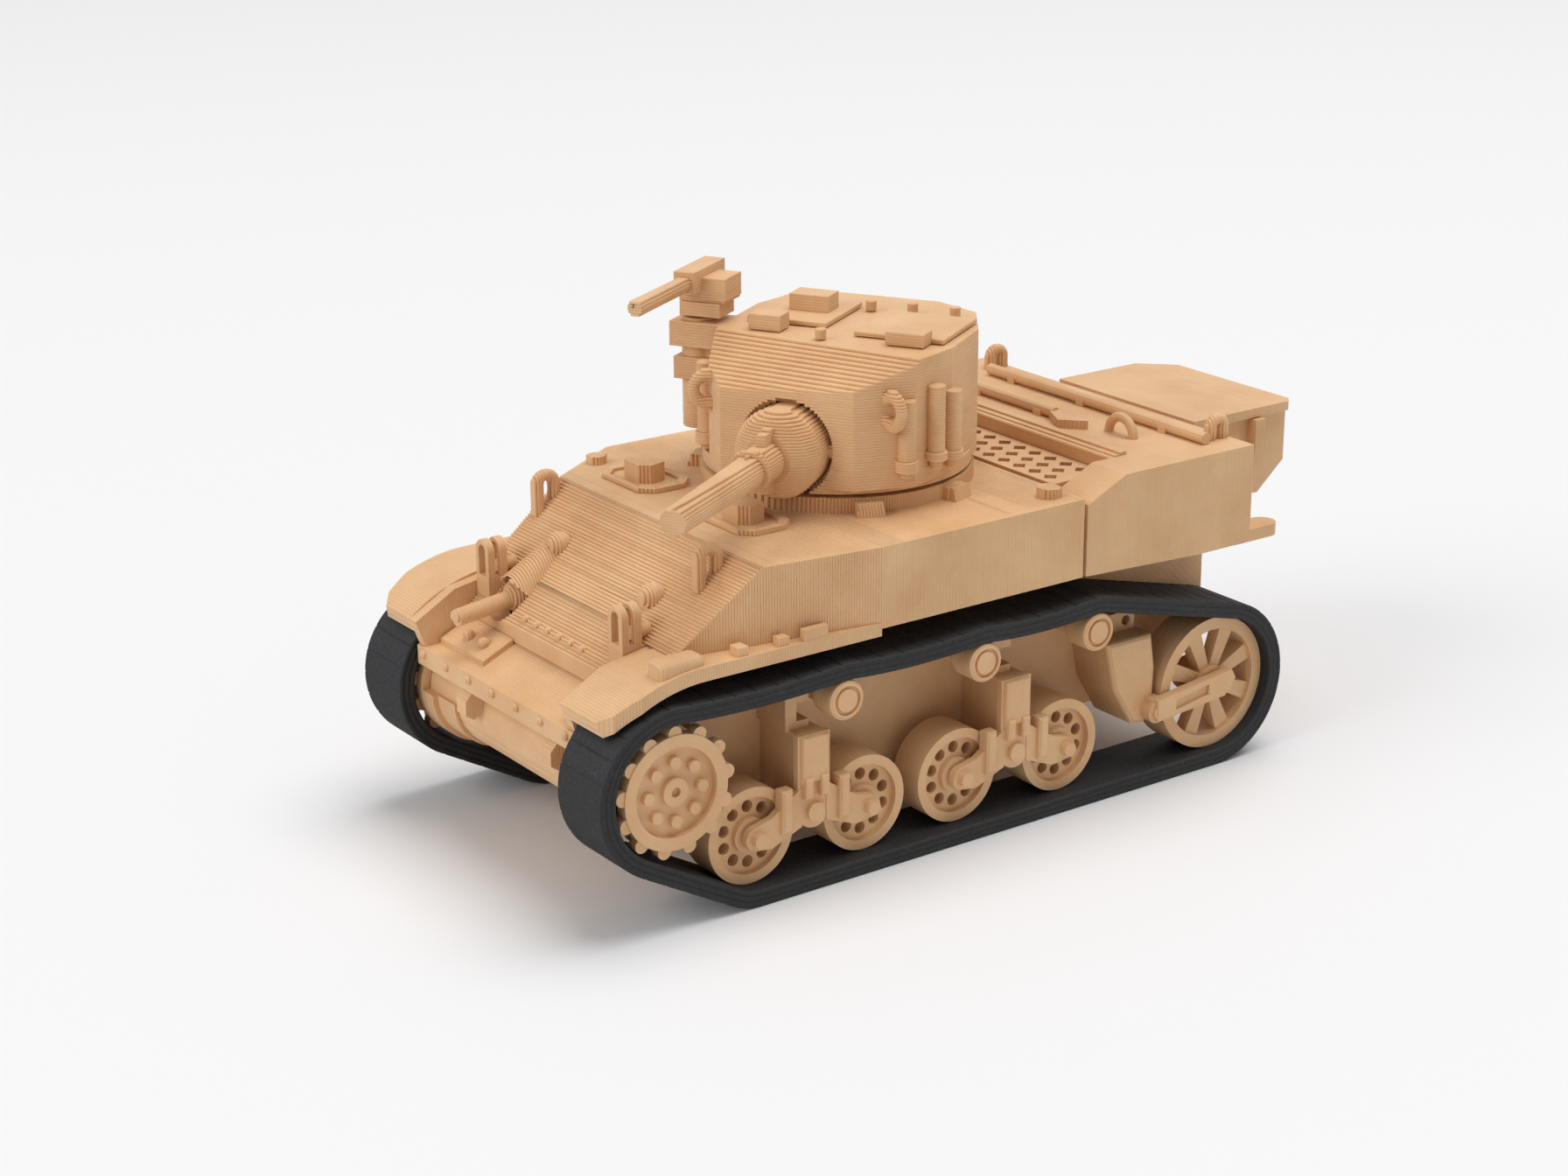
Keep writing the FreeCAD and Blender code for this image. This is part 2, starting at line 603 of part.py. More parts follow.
def make_fender():
    """The left track guard: a level ledge that droops at the front, with a wall down to the nose."""
    inner_x = tub_half_width
    bend = math.atan2(fender_top_z - fender_front_z, fender_bend_y - fender_front_y)
    mid_y = fender_front_y + (fender_bend_y - fender_front_y) * 0.42
    mid_z = fender_top_z - (fender_top_z - fender_front_z) * 0.3
    top = [Vector(inner_x, left_shoulder_y, fender_top_z), Vector(inner_x, fender_bend_y, fender_top_z)]
    arc = Part.Arc(top[1], Vector(inner_x, mid_y, mid_z), Vector(inner_x, fender_front_y, fender_front_z))
    low_arc = Part.Arc(Vector(inner_x, fender_bend_y, fender_top_z - fender_thickness),
                       Vector(inner_x, mid_y + fender_thickness * math.sin(bend) * 0.7, mid_z - fender_thickness),
                       Vector(inner_x, fender_front_y + 0.35, fender_front_z - fender_thickness))
    edges = [Part.LineSegment(top[0], top[1]).toShape(), arc.toShape(),
             Part.LineSegment(Vector(inner_x, fender_front_y, fender_front_z), low_arc.EndPoint).toShape(),
             low_arc.toShape(),
             Part.LineSegment(low_arc.StartPoint, Vector(inner_x, left_shoulder_y, low_arc.StartPoint.z)).toShape(),
             Part.LineSegment(Vector(inner_x, left_shoulder_y, low_arc.StartPoint.z), top[0]).toShape()]
    guard = Part.Face(Part.Wire(edges)).extrude(Vector(hull_half_width - inner_x, 0, 0))
    plan = [(inner_x, left_shoulder_y), (hull_half_width, left_shoulder_y),
            (hull_half_width, fender_front_y + 1.6 * fender_corner), (hull_half_width - 0.35 * fender_corner,
            fender_front_y + 0.5 * fender_corner), (hull_half_width - fender_corner, fender_front_y),
            (inner_x, fender_front_y)]
    guard = guard.common(plate_xy(plan, nose_top_z - 1, roof_z))
    wall_x = hull_front_half_width + running_gap
    wall = [(fender_front_y, fender_front_z), (mid_y, mid_z), (fender_bend_y, fender_top_z),
            (fender_bend_y, nose_top_z), (tub_front_y, nose_top_z), (tub_front_y, flange_top_z),
            (flange_front_y + 0.2, flange_top_z)]
    wall = plate_yz(wall, wall_x, belt_inner_x - side_gap)
    brace = plate_yz(wall_line(mid_y, mid_z), wall_x, inner_x + 0.5)
    return joined([guard, wall, brace])


def wall_line(mid_y, mid_z):
    """The strip that ties the guard's skin to its inner wall."""
    low = fender_thickness
    return [(fender_front_y, fender_front_z), (mid_y, mid_z), (fender_bend_y, fender_top_z),
            (fender_bend_y, fender_top_z - low), (mid_y, mid_z - low), (fender_front_y + 0.35, fender_front_z - low)]


def make_fender_left():
    """The left guard with a rounded stowage lump, two strap clips and a small box."""
    lump = box(13.15, 14.95, -24.9, -21.4, fender_top_z - 1.0, fender_top_z + 0.75)
    lump = round_edges(lump, 0.5, lambda edge: edge.BoundBox.ZMax > fender_top_z + 0.7)
    clips = [box(x0, 15.0, y, y + 0.8, fender_top_z - 0.3, fender_top_z + 0.6) for x0, y in ((14.0, -19.0), (14.3, -15.8))]
    small = box(14.65, 15.15, -13.9, -12.0, fender_top_z - 0.3, fender_top_z + 0.8)
    return joined([make_fender(), lump, small] + clips)


def make_nose_cover():
    """The transmission cover: a rounded nose under a bolted flange and a second sloping plate."""
    half = tub_half_width - 0.1
    arc = []
    for count in range(9):
        angle = math.radians(150 + 120 * count / 8)
        arc.append((sprocket_y + nose_radius * math.cos(angle), sprocket_z + nose_radius * math.sin(angle)))
    outline = [(tub_front_y, nose_top_z), (glacis_end_y + 0.3, nose_top_z), (-27.5, flange_top_z),
               (flange_front_y, flange_top_z), (flange_front_y, flange_bottom_z), (-27.3, flange_bottom_z)]
    outline += arc + [(tub_front_y, belly_z + 0.6)]
    nose = plate_yz(outline, -half, half)
    shoulder = box(hull_front_half_width, 20, -40, 0, flange_top_z, 20)
    nose = nose.cut(shoulder).cut(mirrored(shoulder))
    inner_arc = []
    for count in range(9):
        angle = math.radians(120 + 150 * count / 8)
        inner_arc.append((sprocket_y + (nose_radius - nose_wall) * math.cos(angle),
                          sprocket_z + (nose_radius - nose_wall) * math.sin(angle)))
    hollow = plate_yz([(tub_front_y + 1, nose_top_z - nose_wall), (glacis_end_y + 0.2, nose_top_z - nose_wall)]
                      + inner_arc + [(tub_front_y + 1, sprocket_z - nose_radius + nose_wall)],
                      -half + tub_wall, half - tub_wall)
    bolts = []
    for count in range(nose_bolts):
        x = -9.3 + 18.6 * count / (nose_bolts - 1)
        bolts.append(Part.makeSphere(bolt_radius, Vector(x, flange_front_y, 12.7)))
    raised = plate_yz([(glacis_end_y - 0.05, nose_top_z - 0.3), (glacis_end_y - 0.05, nose_top_z + 0.25),
                       (-27.3, flange_top_z + 0.45), (-27.3, flange_top_z - 0.1)], -9.2, -3.4)
    raised_bolts = [Part.makeSphere(0.42, Vector(x, -26.3, nose_top_z - 0.2)) for x in (-7.0, -5.0)]
    small = box(7.9, 9.2, -27.8, -26.6, flange_top_z - 0.2, flange_top_z + 1.3)
    nose = joined([nose, raised, small] + bolts + raised_bolts).cut(hollow)
    return nose.cut(rod_x(shaft_radius + running_gap, -20, 20, sprocket_y, sprocket_z))


def make_final_drive():
    """The left final drive: a stepped drum on the sprocket's axis, seated on the nose."""
    inner = rod_x(drum_radius - 0.35, drum_inner_x, belt_inner_x - 1.6, sprocket_y, sprocket_z)
    outer = rod_x(drum_radius, belt_inner_x - 1.6, belt_inner_x + 0.6, sprocket_y, sprocket_z)
    drum = inner.fuse(outer).removeSplitter()
    keep_out = box(0, tub_half_width, tub_front_y, 0, 0, 20)
    nose_core = rod_x(nose_radius, -20, tub_half_width - 0.1, sprocket_y, sprocket_z)
    above = box(0, tub_half_width, -40, 0, sprocket_z, 20)
    behind = box(0, tub_half_width - 0.1, sprocket_y, 0, 0, 20)
    drum = drum.cut(keep_out).cut(nose_core).cut(above).cut(behind)
    return drum.cut(rod_x(shaft_radius + running_gap, 0, 20, sprocket_y, sprocket_z))


def make_tow_hooks():
    """Two lugs on the nose under the flange, each a thick tab with a rounded foot."""
    hooks = []
    for x in (-3.6, 7.4):
        lug = plate_yz([(-27.4, flange_bottom_z), (-28.4, flange_bottom_z), (-29.0, 11.2), (-29.0, 10.2), (-28.4, 9.8),
                        (-27.4, 10.4)], x - 0.6, x + 0.6)
        nose = rod_x(nose_radius, x - 2, x + 2, sprocket_y, sprocket_z)
        hooks.append(lug.cut(nose))
    return Part.makeCompound(hooks)


def make_driver_hatch(x, y):
    """A hatch plate with a raised eight-sided border and a six-sided periscope box."""
    border = [(-3.2, -1.2), (-2.2, -2.2), (2.2, -2.2), (3.2, -1.2), (3.2, 1.2), (2.2, 2.2), (-2.2, 2.2), (-3.2, 1.2)]
    outer = plate_xy([(x + dx, y + dy) for dx, dy in border], roof_z, roof_z + 0.35)
    inner = plate_xy([(x + dx * 0.82, y + dy * 0.78) for dx, dy in border], roof_z + 0.15, roof_z + 1)
    box_points = [(-1.5, -0.4), (-0.9, -1.1), (0.9, -1.1), (1.5, -0.4), (1.2, 0.8), (-1.2, 0.8)]
    scope = plate_xy([(x + dx, y + dy) for dx, dy in box_points], roof_z + 0.1, roof_z + 1.5)
    return outer.cut(inner).fuse(scope).removeSplitter()


def make_lift_loops():
    """Four lifting loops, two at the glacis' top corners and two at the rear corners."""
    loops = []
    for x in (-10.1, 10.1):
        y = glacis_top_y - 1.7
        z = roof_z - (glacis_top_y - y) * glacis_fall
        loops.append(loop_x(x, y, z, 2.2, 2.5, 1.5).cut(glacis_wedge(0)))
    for x in (-12.4, 12.4):
        loops.append(loop_x(x, 24.8, deck_z, 2.0, 1.9, 0))
    return Part.makeCompound(loops)


def loop_x(x, y, z, width, height, foot):
    """An upright loop of round bar, standing across Y, with feet that end level."""
    bar = 0.42
    radius = width / 2 - bar
    arch = Part.makeTorus(radius, bar, Vector(x, y, z + height - width / 2), Vector(1, 0, 0))
    arch = arch.common(box(x - 2, x + 2, y - 3, y + 3, z + height - width / 2, z + 9))
    legs = [rod_z(bar, z - foot, z + height - width / 2, x, y + offset) for offset in (-radius, radius)]
    return joined([arch] + legs)


def make_headlights():
    """Two headlight guards: twin round-topped hoops with the lamp's bump behind them."""
    guards = []
    for x in (-8.5, 8.5):
        y = -24.2
        base_z = 15.4
        hoops = [wire_hoop(1.7, 5.0, 0.42, x, y + step, base_z, 0.55) for step in (0, 1.0)]
        foot = box(x - 0.85, x + 0.85, y, y + 1.55, base_z, base_z + 2.4)
        lamp = rod_y(0.5, y + 0.9, y + 2.6, x, base_z + 2.9)
        guards.append(joined(hoops + [foot, lamp]).cut(glacis_wedge(0)))
    return Part.makeCompound(guards)


def make_engine_deck():
    """The raised rear of the hull, with a grille well, stepped cover and rear flange."""
    side = [(hull_rear_y + rear_gap, sponson_z), (hull_rear_y + rear_gap, roof_z - 0.5), (deck_front_y, deck_z),
            (deck_rear_y, deck_z), (deck_rear_y, deck_bottom_z), (21.0, deck_bottom_z)]
    deck = plate_yz(side, -hull_half_width, hull_half_width)
    hollow = plate_yz([(hull_rear_y + rear_gap + 1, deck_bottom_z - 1), (hull_rear_y + rear_gap + 1, roof_z - 1.8),
                       (deck_front_y + 0.4, deck_z - 1.3), (deck_rear_y - 1.2, deck_z - 1.3),
                       (deck_rear_y - 1.2, deck_bottom_z - 1)], -hull_half_width + 1.2, hull_half_width - 1.2)
    deck = deck.cut(hollow)
    well = box(-grille_half_width, grille_half_width, hull_rear_y, grille_rear_y, grille_z - 0.6, deck_z + 1)
    deck = deck.cut(well)
    steps = [box(-grille_half_width, grille_half_width, grille_rear_y - 0.1 + step * 0.5, grille_rear_y + 0.5 + step * 0.5,
                 deck_z - 1.4, deck_z + 0.15 * step - 0.05) for step in range(3)]
    tub_room = box(-tub_half_width, tub_half_width, 0, tub_rear_y, 0, sponson_z)
    floors = []
    for side_x in (-1, 1):
        floor = plate_yz([(hull_rear_y + rear_gap, sponson_z), (hull_rear_y + rear_gap, sponson_z + 1),
                          (deck_rear_y - 1, sponson_z + 1), (deck_rear_y - 1, deck_bottom_z), (21.0, deck_bottom_z)],
                         tub_half_width, hull_half_width - 0.5)
        floors.append(floor if side_x > 0 else mirrored(floor))
    bosses = [rod_z(screw_post_radius, deck_screw_z, top, side_x * screw_x, y) for side_x in (-1, 1)
              for y, top in zip(screw_y, (grille_z - 1, deck_z - 1))]
    deck = joined([deck] + steps + floors + bosses).cut(tub_room)
    for side_x in (-1, 1):
        for y in screw_y:
            deck = deck.cut(rod_z(screw_radius, deck_screw_z - 1, deck_screw_z + 1.7, side_x * screw_x, y))
    tab_x = hull_half_width - 1.6
    tab = box(tab_x - 1.0, tab_x + 1.0, deck_rear_y - 0.8, deck_rear_y + 2.8, deck_bottom_z - 0.3, deck_bottom_z + 0.6)
    tab = tab.fuse(rod_z(1.0, deck_bottom_z - 0.3, deck_bottom_z + 0.6, tab_x, deck_rear_y + 2.8))
    return joined([deck, tab, mirrored(tab)])


def make_deck_grille():
    """A thin lattice laid in the well behind the turret."""
    inset = seat_gap
    front_y = hull_rear_y + rear_gap
    plate = box(-grille_half_width + inset, grille_half_width - inset, front_y, grille_rear_y - inset - 0.1,
                grille_z - 0.6, grille_z)
    holes = []
    for row in range(3):
        for column in range(13):
            x = -10.4 + 1.7 * column + (0.85 if row % 2 else 0)
            if abs(x) > grille_half_width - 1:
                continue
            y = front_y + 1.0 + 1.45 * row
            hole = plate_xy([(x - 0.6, y), (x, y - 0.6), (x + 0.6, y), (x, y + 0.6)], grille_z - 1, grille_z + 1)
            holes.append(hole)
    return plate.cut(Part.makeCompound(holes))


def make_deck_tools():
    """Two rods strapped across the deck, a bent handle and a curved handle."""
    z = deck_z + 0.45
    long_rod = rod_x(0.43, -11.0, 13.2, 23.1, z)
    short_rod = rod_x(0.4, -9.5, 1.6, 18.9, z)
    feet = [box(x - 0.4, x + 0.4, y - 0.5, y + 0.5, deck_z, z) for x, y in
            ((-8, 23.1), (0, 23.1), (9, 23.1), (-7, 18.9), (0, 18.9))]
    bent = [plate_xy([(1.2, 18.6), (3.6, 17.4), (3.9, 17.9), (1.5, 19.3)], deck_z, z + 0.2),
            plate_xy([(3.6, 17.4), (5.2, 18.9), (4.8, 19.3), (3.2, 17.9)], deck_z, z + 0.2)]
    curved = Part.makeTorus(1.3, 0.35, Vector(7.6, 20.0, deck_z), Vector(0, 1, 0))
    curved = curved.common(box(5, 10, 18, 22, deck_z, deck_z + 3))
    return Part.makeCompound([joined([long_rod] + feet[:3]), joined([short_rod] + feet[3:] + bent), curved])


def make_stowage_box():
    """The big open box behind the deck, chamfered along its bottom rear edge."""
    top = box_top_z - lid_thickness
    outline = [(box_front_y, top), (box_front_y, 17.5), (box_rear_y - 2.6, 16.8), (box_rear_y, 19.0), (box_rear_y, top)]
    bin_body = plate_yz(outline, -box_half_width, box_half_width)
    inner = [(box_front_y + 0.9, top + 1), (box_front_y + 0.9, 18.4), (box_rear_y - 2.9, 17.8), (box_rear_y - 0.9, 19.4),
             (box_rear_y - 0.9, top + 1)]
    bin_body = bin_body.cut(plate_yz(inner, -box_half_width + 0.9, box_half_width - 0.9))
    mount = box(-4.0, 4.0, deck_rear_y, box_front_y + 0.3, 18.7, 22.5)
    clips = [box(x, x + 1.1, 33.2, 34.2, 20.4, 22.9) for x in (box_half_width - 0.2, -box_half_width - 0.9)]
    return joined([bin_body, mount] + clips)


def make_stowage_lid():
    """The box's flat lid with a lip all round and clipped corners."""
    x, y0, y1, clip = box_half_width + lid_lip, box_front_y - lid_lip, box_rear_y + lid_lip, 2.4
    plan = [(-x, y0), (x, y0), (x, y1 - 0.6), (x - 0.6, y1), (-x + clip, y1), (-x, y1 - clip)]
    return plate_xy(plan, box_top_z - lid_thickness, box_top_z)


# Suspension
def make_bogie(front_y, rear_y):
    """The left bogie between two road wheels: column, face plate, arms, plates and axle pins."""
    middle = (front_y + rear_y) / 2
    column_x = 14.5
    column = box(tub_half_width, column_x, middle - 1.05, middle + 1.05, 5.6, 11.0)
    foot = rod_x(1.3, column_x, column_x + 0.5, middle, 5.6)
    front = box(column_x, column_x + 0.5, middle - 1.3, middle + 1.3, 5.6, 11.0)
    face = box(column_x - 0.2, column_x + 0.8, middle - 1.1, middle + 1.1, 7.6, 10.9)
    face = round_edges(face, 0.25, lambda edge: edge.BoundBox.XMin > column_x + 0.7)
    tabs = []
    for offset in (-0.65, 0.65):
        tab = box(column_x - 0.1, column_x + 1.05, middle + offset - 0.35, middle + offset + 0.35, 6.6, 8.1)
        tabs.append(round_edges(tab, 0.25, lambda edge: edge.BoundBox.XMin > column_x + 1.0))
    pivot = rod_x(0.65, column_x - 0.1, column_x + 0.85, middle, 5.5)
    arms = []
    arm_inner = wheel_face_x + side_gap
    for wheel_y in (front_y, rear_y):
        side = 1 if wheel_y > middle else -1
        root_y = middle + side * 1.0
        arm = plate_yz([(root_y, 4.6), (root_y, 7.4), (wheel_y - side * 1.2, road_wheel_z + 1.15),
                        (wheel_y, road_wheel_z + 0.85), (wheel_y, road_wheel_z - 0.85),
                        (wheel_y - side * 1.2, road_wheel_z - 1.0)], arm_inner, arm_inner + 0.55)
        eye = rod_x(0.85, arm_inner, arm_inner + 0.55, wheel_y, road_wheel_z)
        plate_y = middle + side * 2.35
        plate = box(arm_inner, arm_inner + 0.95, plate_y - 0.45, plate_y + 0.45, 4.5, 7.6)
        plate = round_edges(plate, 0.3, lambda edge: edge.BoundBox.XMin > arm_inner + 0.9)
        pin = rod_x(axle_radius, wheel_face_x - road_wheel_width + 0.1, hub_cap_x, wheel_y, road_wheel_z)
        arms += [arm, eye, plate, pin]
    bracket = box(tub_half_width, 13.6, middle - 1.3, middle + 0.6, 10.9, 13.4)
    window = box(tub_half_width + 0.8, 14, middle - 0.4, middle + 2.0, 11.5, 12.8)
    bracket = bracket.cut(window)
    return joined([column, foot, front, face, pivot, bracket] + tabs + arms)


def make_roller_pins():
    """The three fixed pins that carry the left return rollers."""
    pins = []
    for y in roller_y:
        pin = rod_x(roller_pin_radius, tub_half_width, hub_cap_x - 0.6, y, roller_z)
        collar = rod_x(0.95, tub_half_width, hub_cap_x - roller_width - side_gap, y, roller_z)
        pins.append(pin.fuse(collar).removeSplitter())
    return pins


def make_idler_arm():
    """The left idler's spring housing, trailing arm and axle pin."""
    face_x = 14.4
    outline = [(13.2, 11.2), (17.5, 11.2), (17.9, 8.6), (17.8, 5.4), (17.0, 4.4), (15.8, 4.6), (14.0, 7.6)]
    housing = plate_yz(outline, tub_half_width, face_x)
    housing = round_edges(housing, 0.35, lambda edge: edge.BoundBox.XMin > face_x - 0.01)
    ear = box(tub_half_width, 12.6, 15.0, 17.3, 11.1, 12.6)
    ear = ear.cut(rod_x(0.38, 10, 14, 16.5, 11.9))
    link = rod_x(0.8, face_x - 0.2, face_x + 0.9, 17.4, 5.4)
    bolt = rod_x(0.45, face_x - 0.2, face_x + 1.15, 17.4, 5.4)
    arm_x = idler_face_x + side_gap
    arm = plate_yz([(17.2, 4.8), (17.2, 6.4), (idler_y + 1.2, idler_z + 1.0), (idler_y + 1.6, idler_z + 0.3),
                    (idler_y + 0.6, idler_z - 0.9)], arm_x, hub_cap_x)
    groove = plate_yz([(19.0, 5.3), (19.0, 6.1), (22.2, 6.6), (22.2, 5.8)], arm_x + 0.5, hub_cap_x + 1)
    root = box(face_x - 0.3, arm_x + 0.2, 17.0, 18.1, 5.0, 6.4)
    pin = rod_x(axle_radius, idler_face_x - idler_width + 0.1, arm_x + 0.3, idler_y, idler_z)
    return joined([housing, ear, link, bolt, arm.cut(groove), root, pin])


# Turret, drawn pointing forward and then turned
def turret_plan(inset, low, high):
    """The turret's plan, drawn in by the inset and standing between two heights."""
    corners = [Vector(x, y, low) for x, y in turret_left_side + turret_right_side]
    face = Part.Face(Part.makePolygon(corners + corners[:1]))
    return (face.makeOffset2D(-inset, 2) if inset else face).extrude(Vector(0, 0, high - low))


def roof_slope(drop):
    """The space over the sloping front of the roof, lowered by the drop."""
    fall = math.tan(math.radians(roof_slope_angle))
    top = turret_roof_z - drop
    wedge = plate_yz([(roof_slope_y + 2, top + 2 * fall), (roof_slope_y - 12, top - 12 * fall),
                      (roof_slope_y - 12, top + 5)], -14, 14)
    return turned(wedge, Vector(0, roof_slope_y, 0), Vector(0, 0, 1), roof_slope_skew)


def make_turret_shell():
    """The cast turret: a many-sided shell on a round base, with a sloping roof front."""
    base_z = ring_top_z + side_gap
    floor_top = base_z + turret_floor
    base = rod_z(turret_radius, base_z, base_z + turret_base_height, 0, 0)
    body = turret_plan(0, base_z + 0.5, turret_roof_z).cut(roof_slope(0))
    hollow = turret_plan(turret_wall, floor_top, turret_roof_z - turret_wall).cut(roof_slope(turret_wall))
    spigot_bottom = roof_z - spigot_depth
    spigot = rod_z(spigot_radius, spigot_bottom + 1, base_z + 0.5, 0, 0)
    hooks = rod_z(spigot_radius + 0.5, spigot_bottom + 0.4, roof_z - hull_wall - 0.3, 0, 0)
    hooks = hooks.common(box(-2, 2, -9, 9, 15, 30))
    bore = rod_z(spigot_radius - 1, spigot_bottom, floor_top, 0, 0)
    shell = joined([base, body]).cut(hollow)
    shell = joined([shell, spigot, hooks]).cut(bore)
    socket = Part.makeSphere(mantlet_radius + seat_gap, Vector(0, trunnion_y, gun_z))
    housing = box(-5.2, 5.2, turret_front_y, trunnion_y + 2.4, base_z + 1.2, gun_z + 4.0)
    housing = housing.common(turret_plan(0.2, base_z, gun_z + 3.4))
    shell = joined([shell, housing]).cut(socket)
    shell = shell.cut(rod_y(mantlet_radius + mantlet_swing_gap, mantlet_front_y, trunnion_y, 0, gun_z))
    shell = shell.cut(rod_x(trunnion_radius + running_gap, -4.4, 4.4, trunnion_y, gun_z))
    return joined([shell] + turret_fittings())


def turret_fittings():
    """The side tubes, lifting hooks, rear bin and roof gun post moulded on the turret."""
    fittings = []
    for x, y, low, high in ((7.9, -6.9, 25.9, 30.9), (9.15, -4.6, 26.2, 31.4), (9.55, -2.5, 25.8, 30.6),
                            (-7.6, -5.5, 25.9, 31.6)):
        fittings.append(tube(x, y, low, high))
    hook = Part.makeTorus(1.0, 0.42, Vector(0, 0, 0), Vector(1, 0, 0))
    for x, y, z, turn in ((7.2, -7.8, 30.2, 58), (-6.6, -7.3, 30.2, -58), (5.2, 10.9, 30.6, 20)):
        ring = turned(hook, Vector(0, 0, 0), Vector(0, 0, 1), turn)
        ring.translate(Vector(x, y, z))
        fittings.append(ring)
    rear_bin = box(-5.4, 6.3, 8.6, 12.0, 24.9, 29.6)
    fittings.append(round_edges(rear_bin, 0.4, lambda edge: edge.BoundBox.YMin > 11.9))
    post = rod_z(post_radius, 25.6, post_top_z, post_x, post_y)
    bracket = box(post_x, -7.6, post_y - 0.9, post_y + 0.9, 26.5, 33.0)
    collars = [box(post_x - half, post_x + half + 0.6, post_y - half, post_y + half, low, high) for half, low, high in
               ((1.6, 31.7, 33.4), (1.4, 29.3, 30.9))]
    pintle_bore = rod_z(pintle_radius + running_gap, post_top_z - 2.0, post_top_z + 1, post_x, post_y)
    fittings.append(joined([post, bracket] + collars).cut(pintle_bore))
    return fittings


def tube(x, y, low, high):
    """An upright smoke-tube shape with a collared foot."""
    return joined([rod_z(0.62, low, high, x, y), rod_z(0.8, low, low + 0.7, x, y), rod_z(0.45, low - 0.5, low + 0.2, x, y)])


def make_turret_hatches():
    """Two thin roof hatches with three periscope boxes and their small bumps."""
    top = turret_roof_z
    left = box(2.0, 8.6, -1.9, 4.8, top, top + 0.25)
    right = box(-6.6, -0.6, -0.6, 6.2, top, top + 0.25)
    scopes = [box(4.9, 7.7, -3.4, -1.7, top, top + 1.0), box(-4.6, -1.6, 2.2, 4.2, top, top + 1.5),
              box(-5.5, -3.1, -2.9, -1.2, top, top + 1.1)]
    bumps = [rod_z(0.4, top, top + 0.7, x, y) for x, y in ((0.4, 5.4), (3.4, 5.8), (6.6, 5.8), (0.2, -3.5))]
    return Part.makeCompound([joined([left, scopes[0]]), joined([right, scopes[1]]), scopes[2]] + bumps)


def make_main_gun():
    """The gun: a round mantlet on trunnions, a ringed sleeve and a long barrel."""
    r = mantlet_radius
    front = trunnion_y - mantlet_front_y
    back_arc = Part.Arc(Vector(0, trunnion_y + r, 0), Vector(r * math.sqrt(0.5), trunnion_y + r * math.sqrt(0.5), 0),
                        Vector(r, trunnion_y, 0))
    outline = [(r, 0), (r, 1.6), (r + mantlet_lip, 2.0), (r + mantlet_lip - 0.1, 2.5), (r - 0.35, front - 0.6),
               (r - 1.1, front - 0.15), (r - 1.3, front), (0, front), (0, -r)]
    corners = [Vector(reach, trunnion_y - ahead, 0) for reach, ahead in outline]
    edges = [back_arc.toShape(), Part.makePolygon(corners)]
    mantlet = Part.Face(Part.Wire(edges[:1] + edges[1].Edges)).revolve(Vector(0, 0, 0), Vector(0, 1, 0), 360)
    mantlet.translate(Vector(0, 0, gun_z))
    sleeve = rod_y(sleeve_radius, sleeve_end_y, mantlet_front_y + 1, 0, gun_z)
    ring = rod_y(sleeve_radius + 0.18, sleeve_end_y - 0.1, sleeve_end_y + 0.3, 0, gun_z)
    barrel = Part.makeCone(barrel_radius, sleeve_radius - 0.15, sleeve_end_y - muzzle_y + 0.2,
                           Vector(0, muzzle_y, gun_z), Vector(0, 1, 0))
    trunnions = rod_x(trunnion_radius, -4.3, 4.3, trunnion_y, gun_z)
    breech = rod_y(breech_radius, trunnion_y, trunnion_y + breech_length, 0, gun_z)
    top_fin = [(-13.4, gun_z + 0.9), (-13.4, gun_z + 1.9), (mantlet_front_y + 0.5, gun_z + 2.3),
               (mantlet_front_y + 0.5, gun_z + 0.9)]
    low_lug = [(-13.6, gun_z - 0.9), (-13.6, gun_z - 2.0), (mantlet_front_y + 0.5, gun_z - 2.2),
               (mantlet_front_y + 0.5, gun_z - 0.9)]
    ears = [plate_yz(top_fin, -0.35, 0.35), plate_yz(low_lug, -0.5, 0.5)]
    return joined([mantlet, sleeve, ring, barrel, trunnions, breech] + ears)


def make_roof_gun():
    """The roof gun on its pintle: stacked mount blocks, a receiver, an ammunition box and a barrel."""
    z = receiver_top_z
    mount_bottom = post_top_z + side_gap
    receiver = box(post_x - 0.8, post_x + 0.8, post_y - 2.4, post_y + 2.8, z - 1.6, z)
    ammo = box(post_x + 0.6, post_x + 2.6, post_y - 1.2, post_y + 1.6, z - 2.1, z - 0.5)
    shelf = box(post_x - 1.0, post_x + 2.5, post_y - 1.1, post_y + 1.6, z - 2.3, z - 1.5)
    cradle = box(post_x - 0.9, post_x + 2.2, post_y - 1.3, post_y + 1.2, mount_bottom, z - 2.4)
    neck = box(post_x - 0.7, post_x + 2.0, post_y - 0.9, post_y + 1.0, z - 2.5, z - 2.2)
    pintle = rod_z(pintle_radius, post_top_z - 1.8, mount_bottom + 0.3, post_x, post_y)
    barrel = rod_y(0.55, post_y - 10.2, post_y - 2.2, post_x, z - 0.85)
    return joined([receiver, ammo, shelf, cradle, neck, pintle, barrel])


def turret_pose(shape):
    return turned(shape, Vector(0, 0, 0), Vector(0, 0, 1), turret_turned)


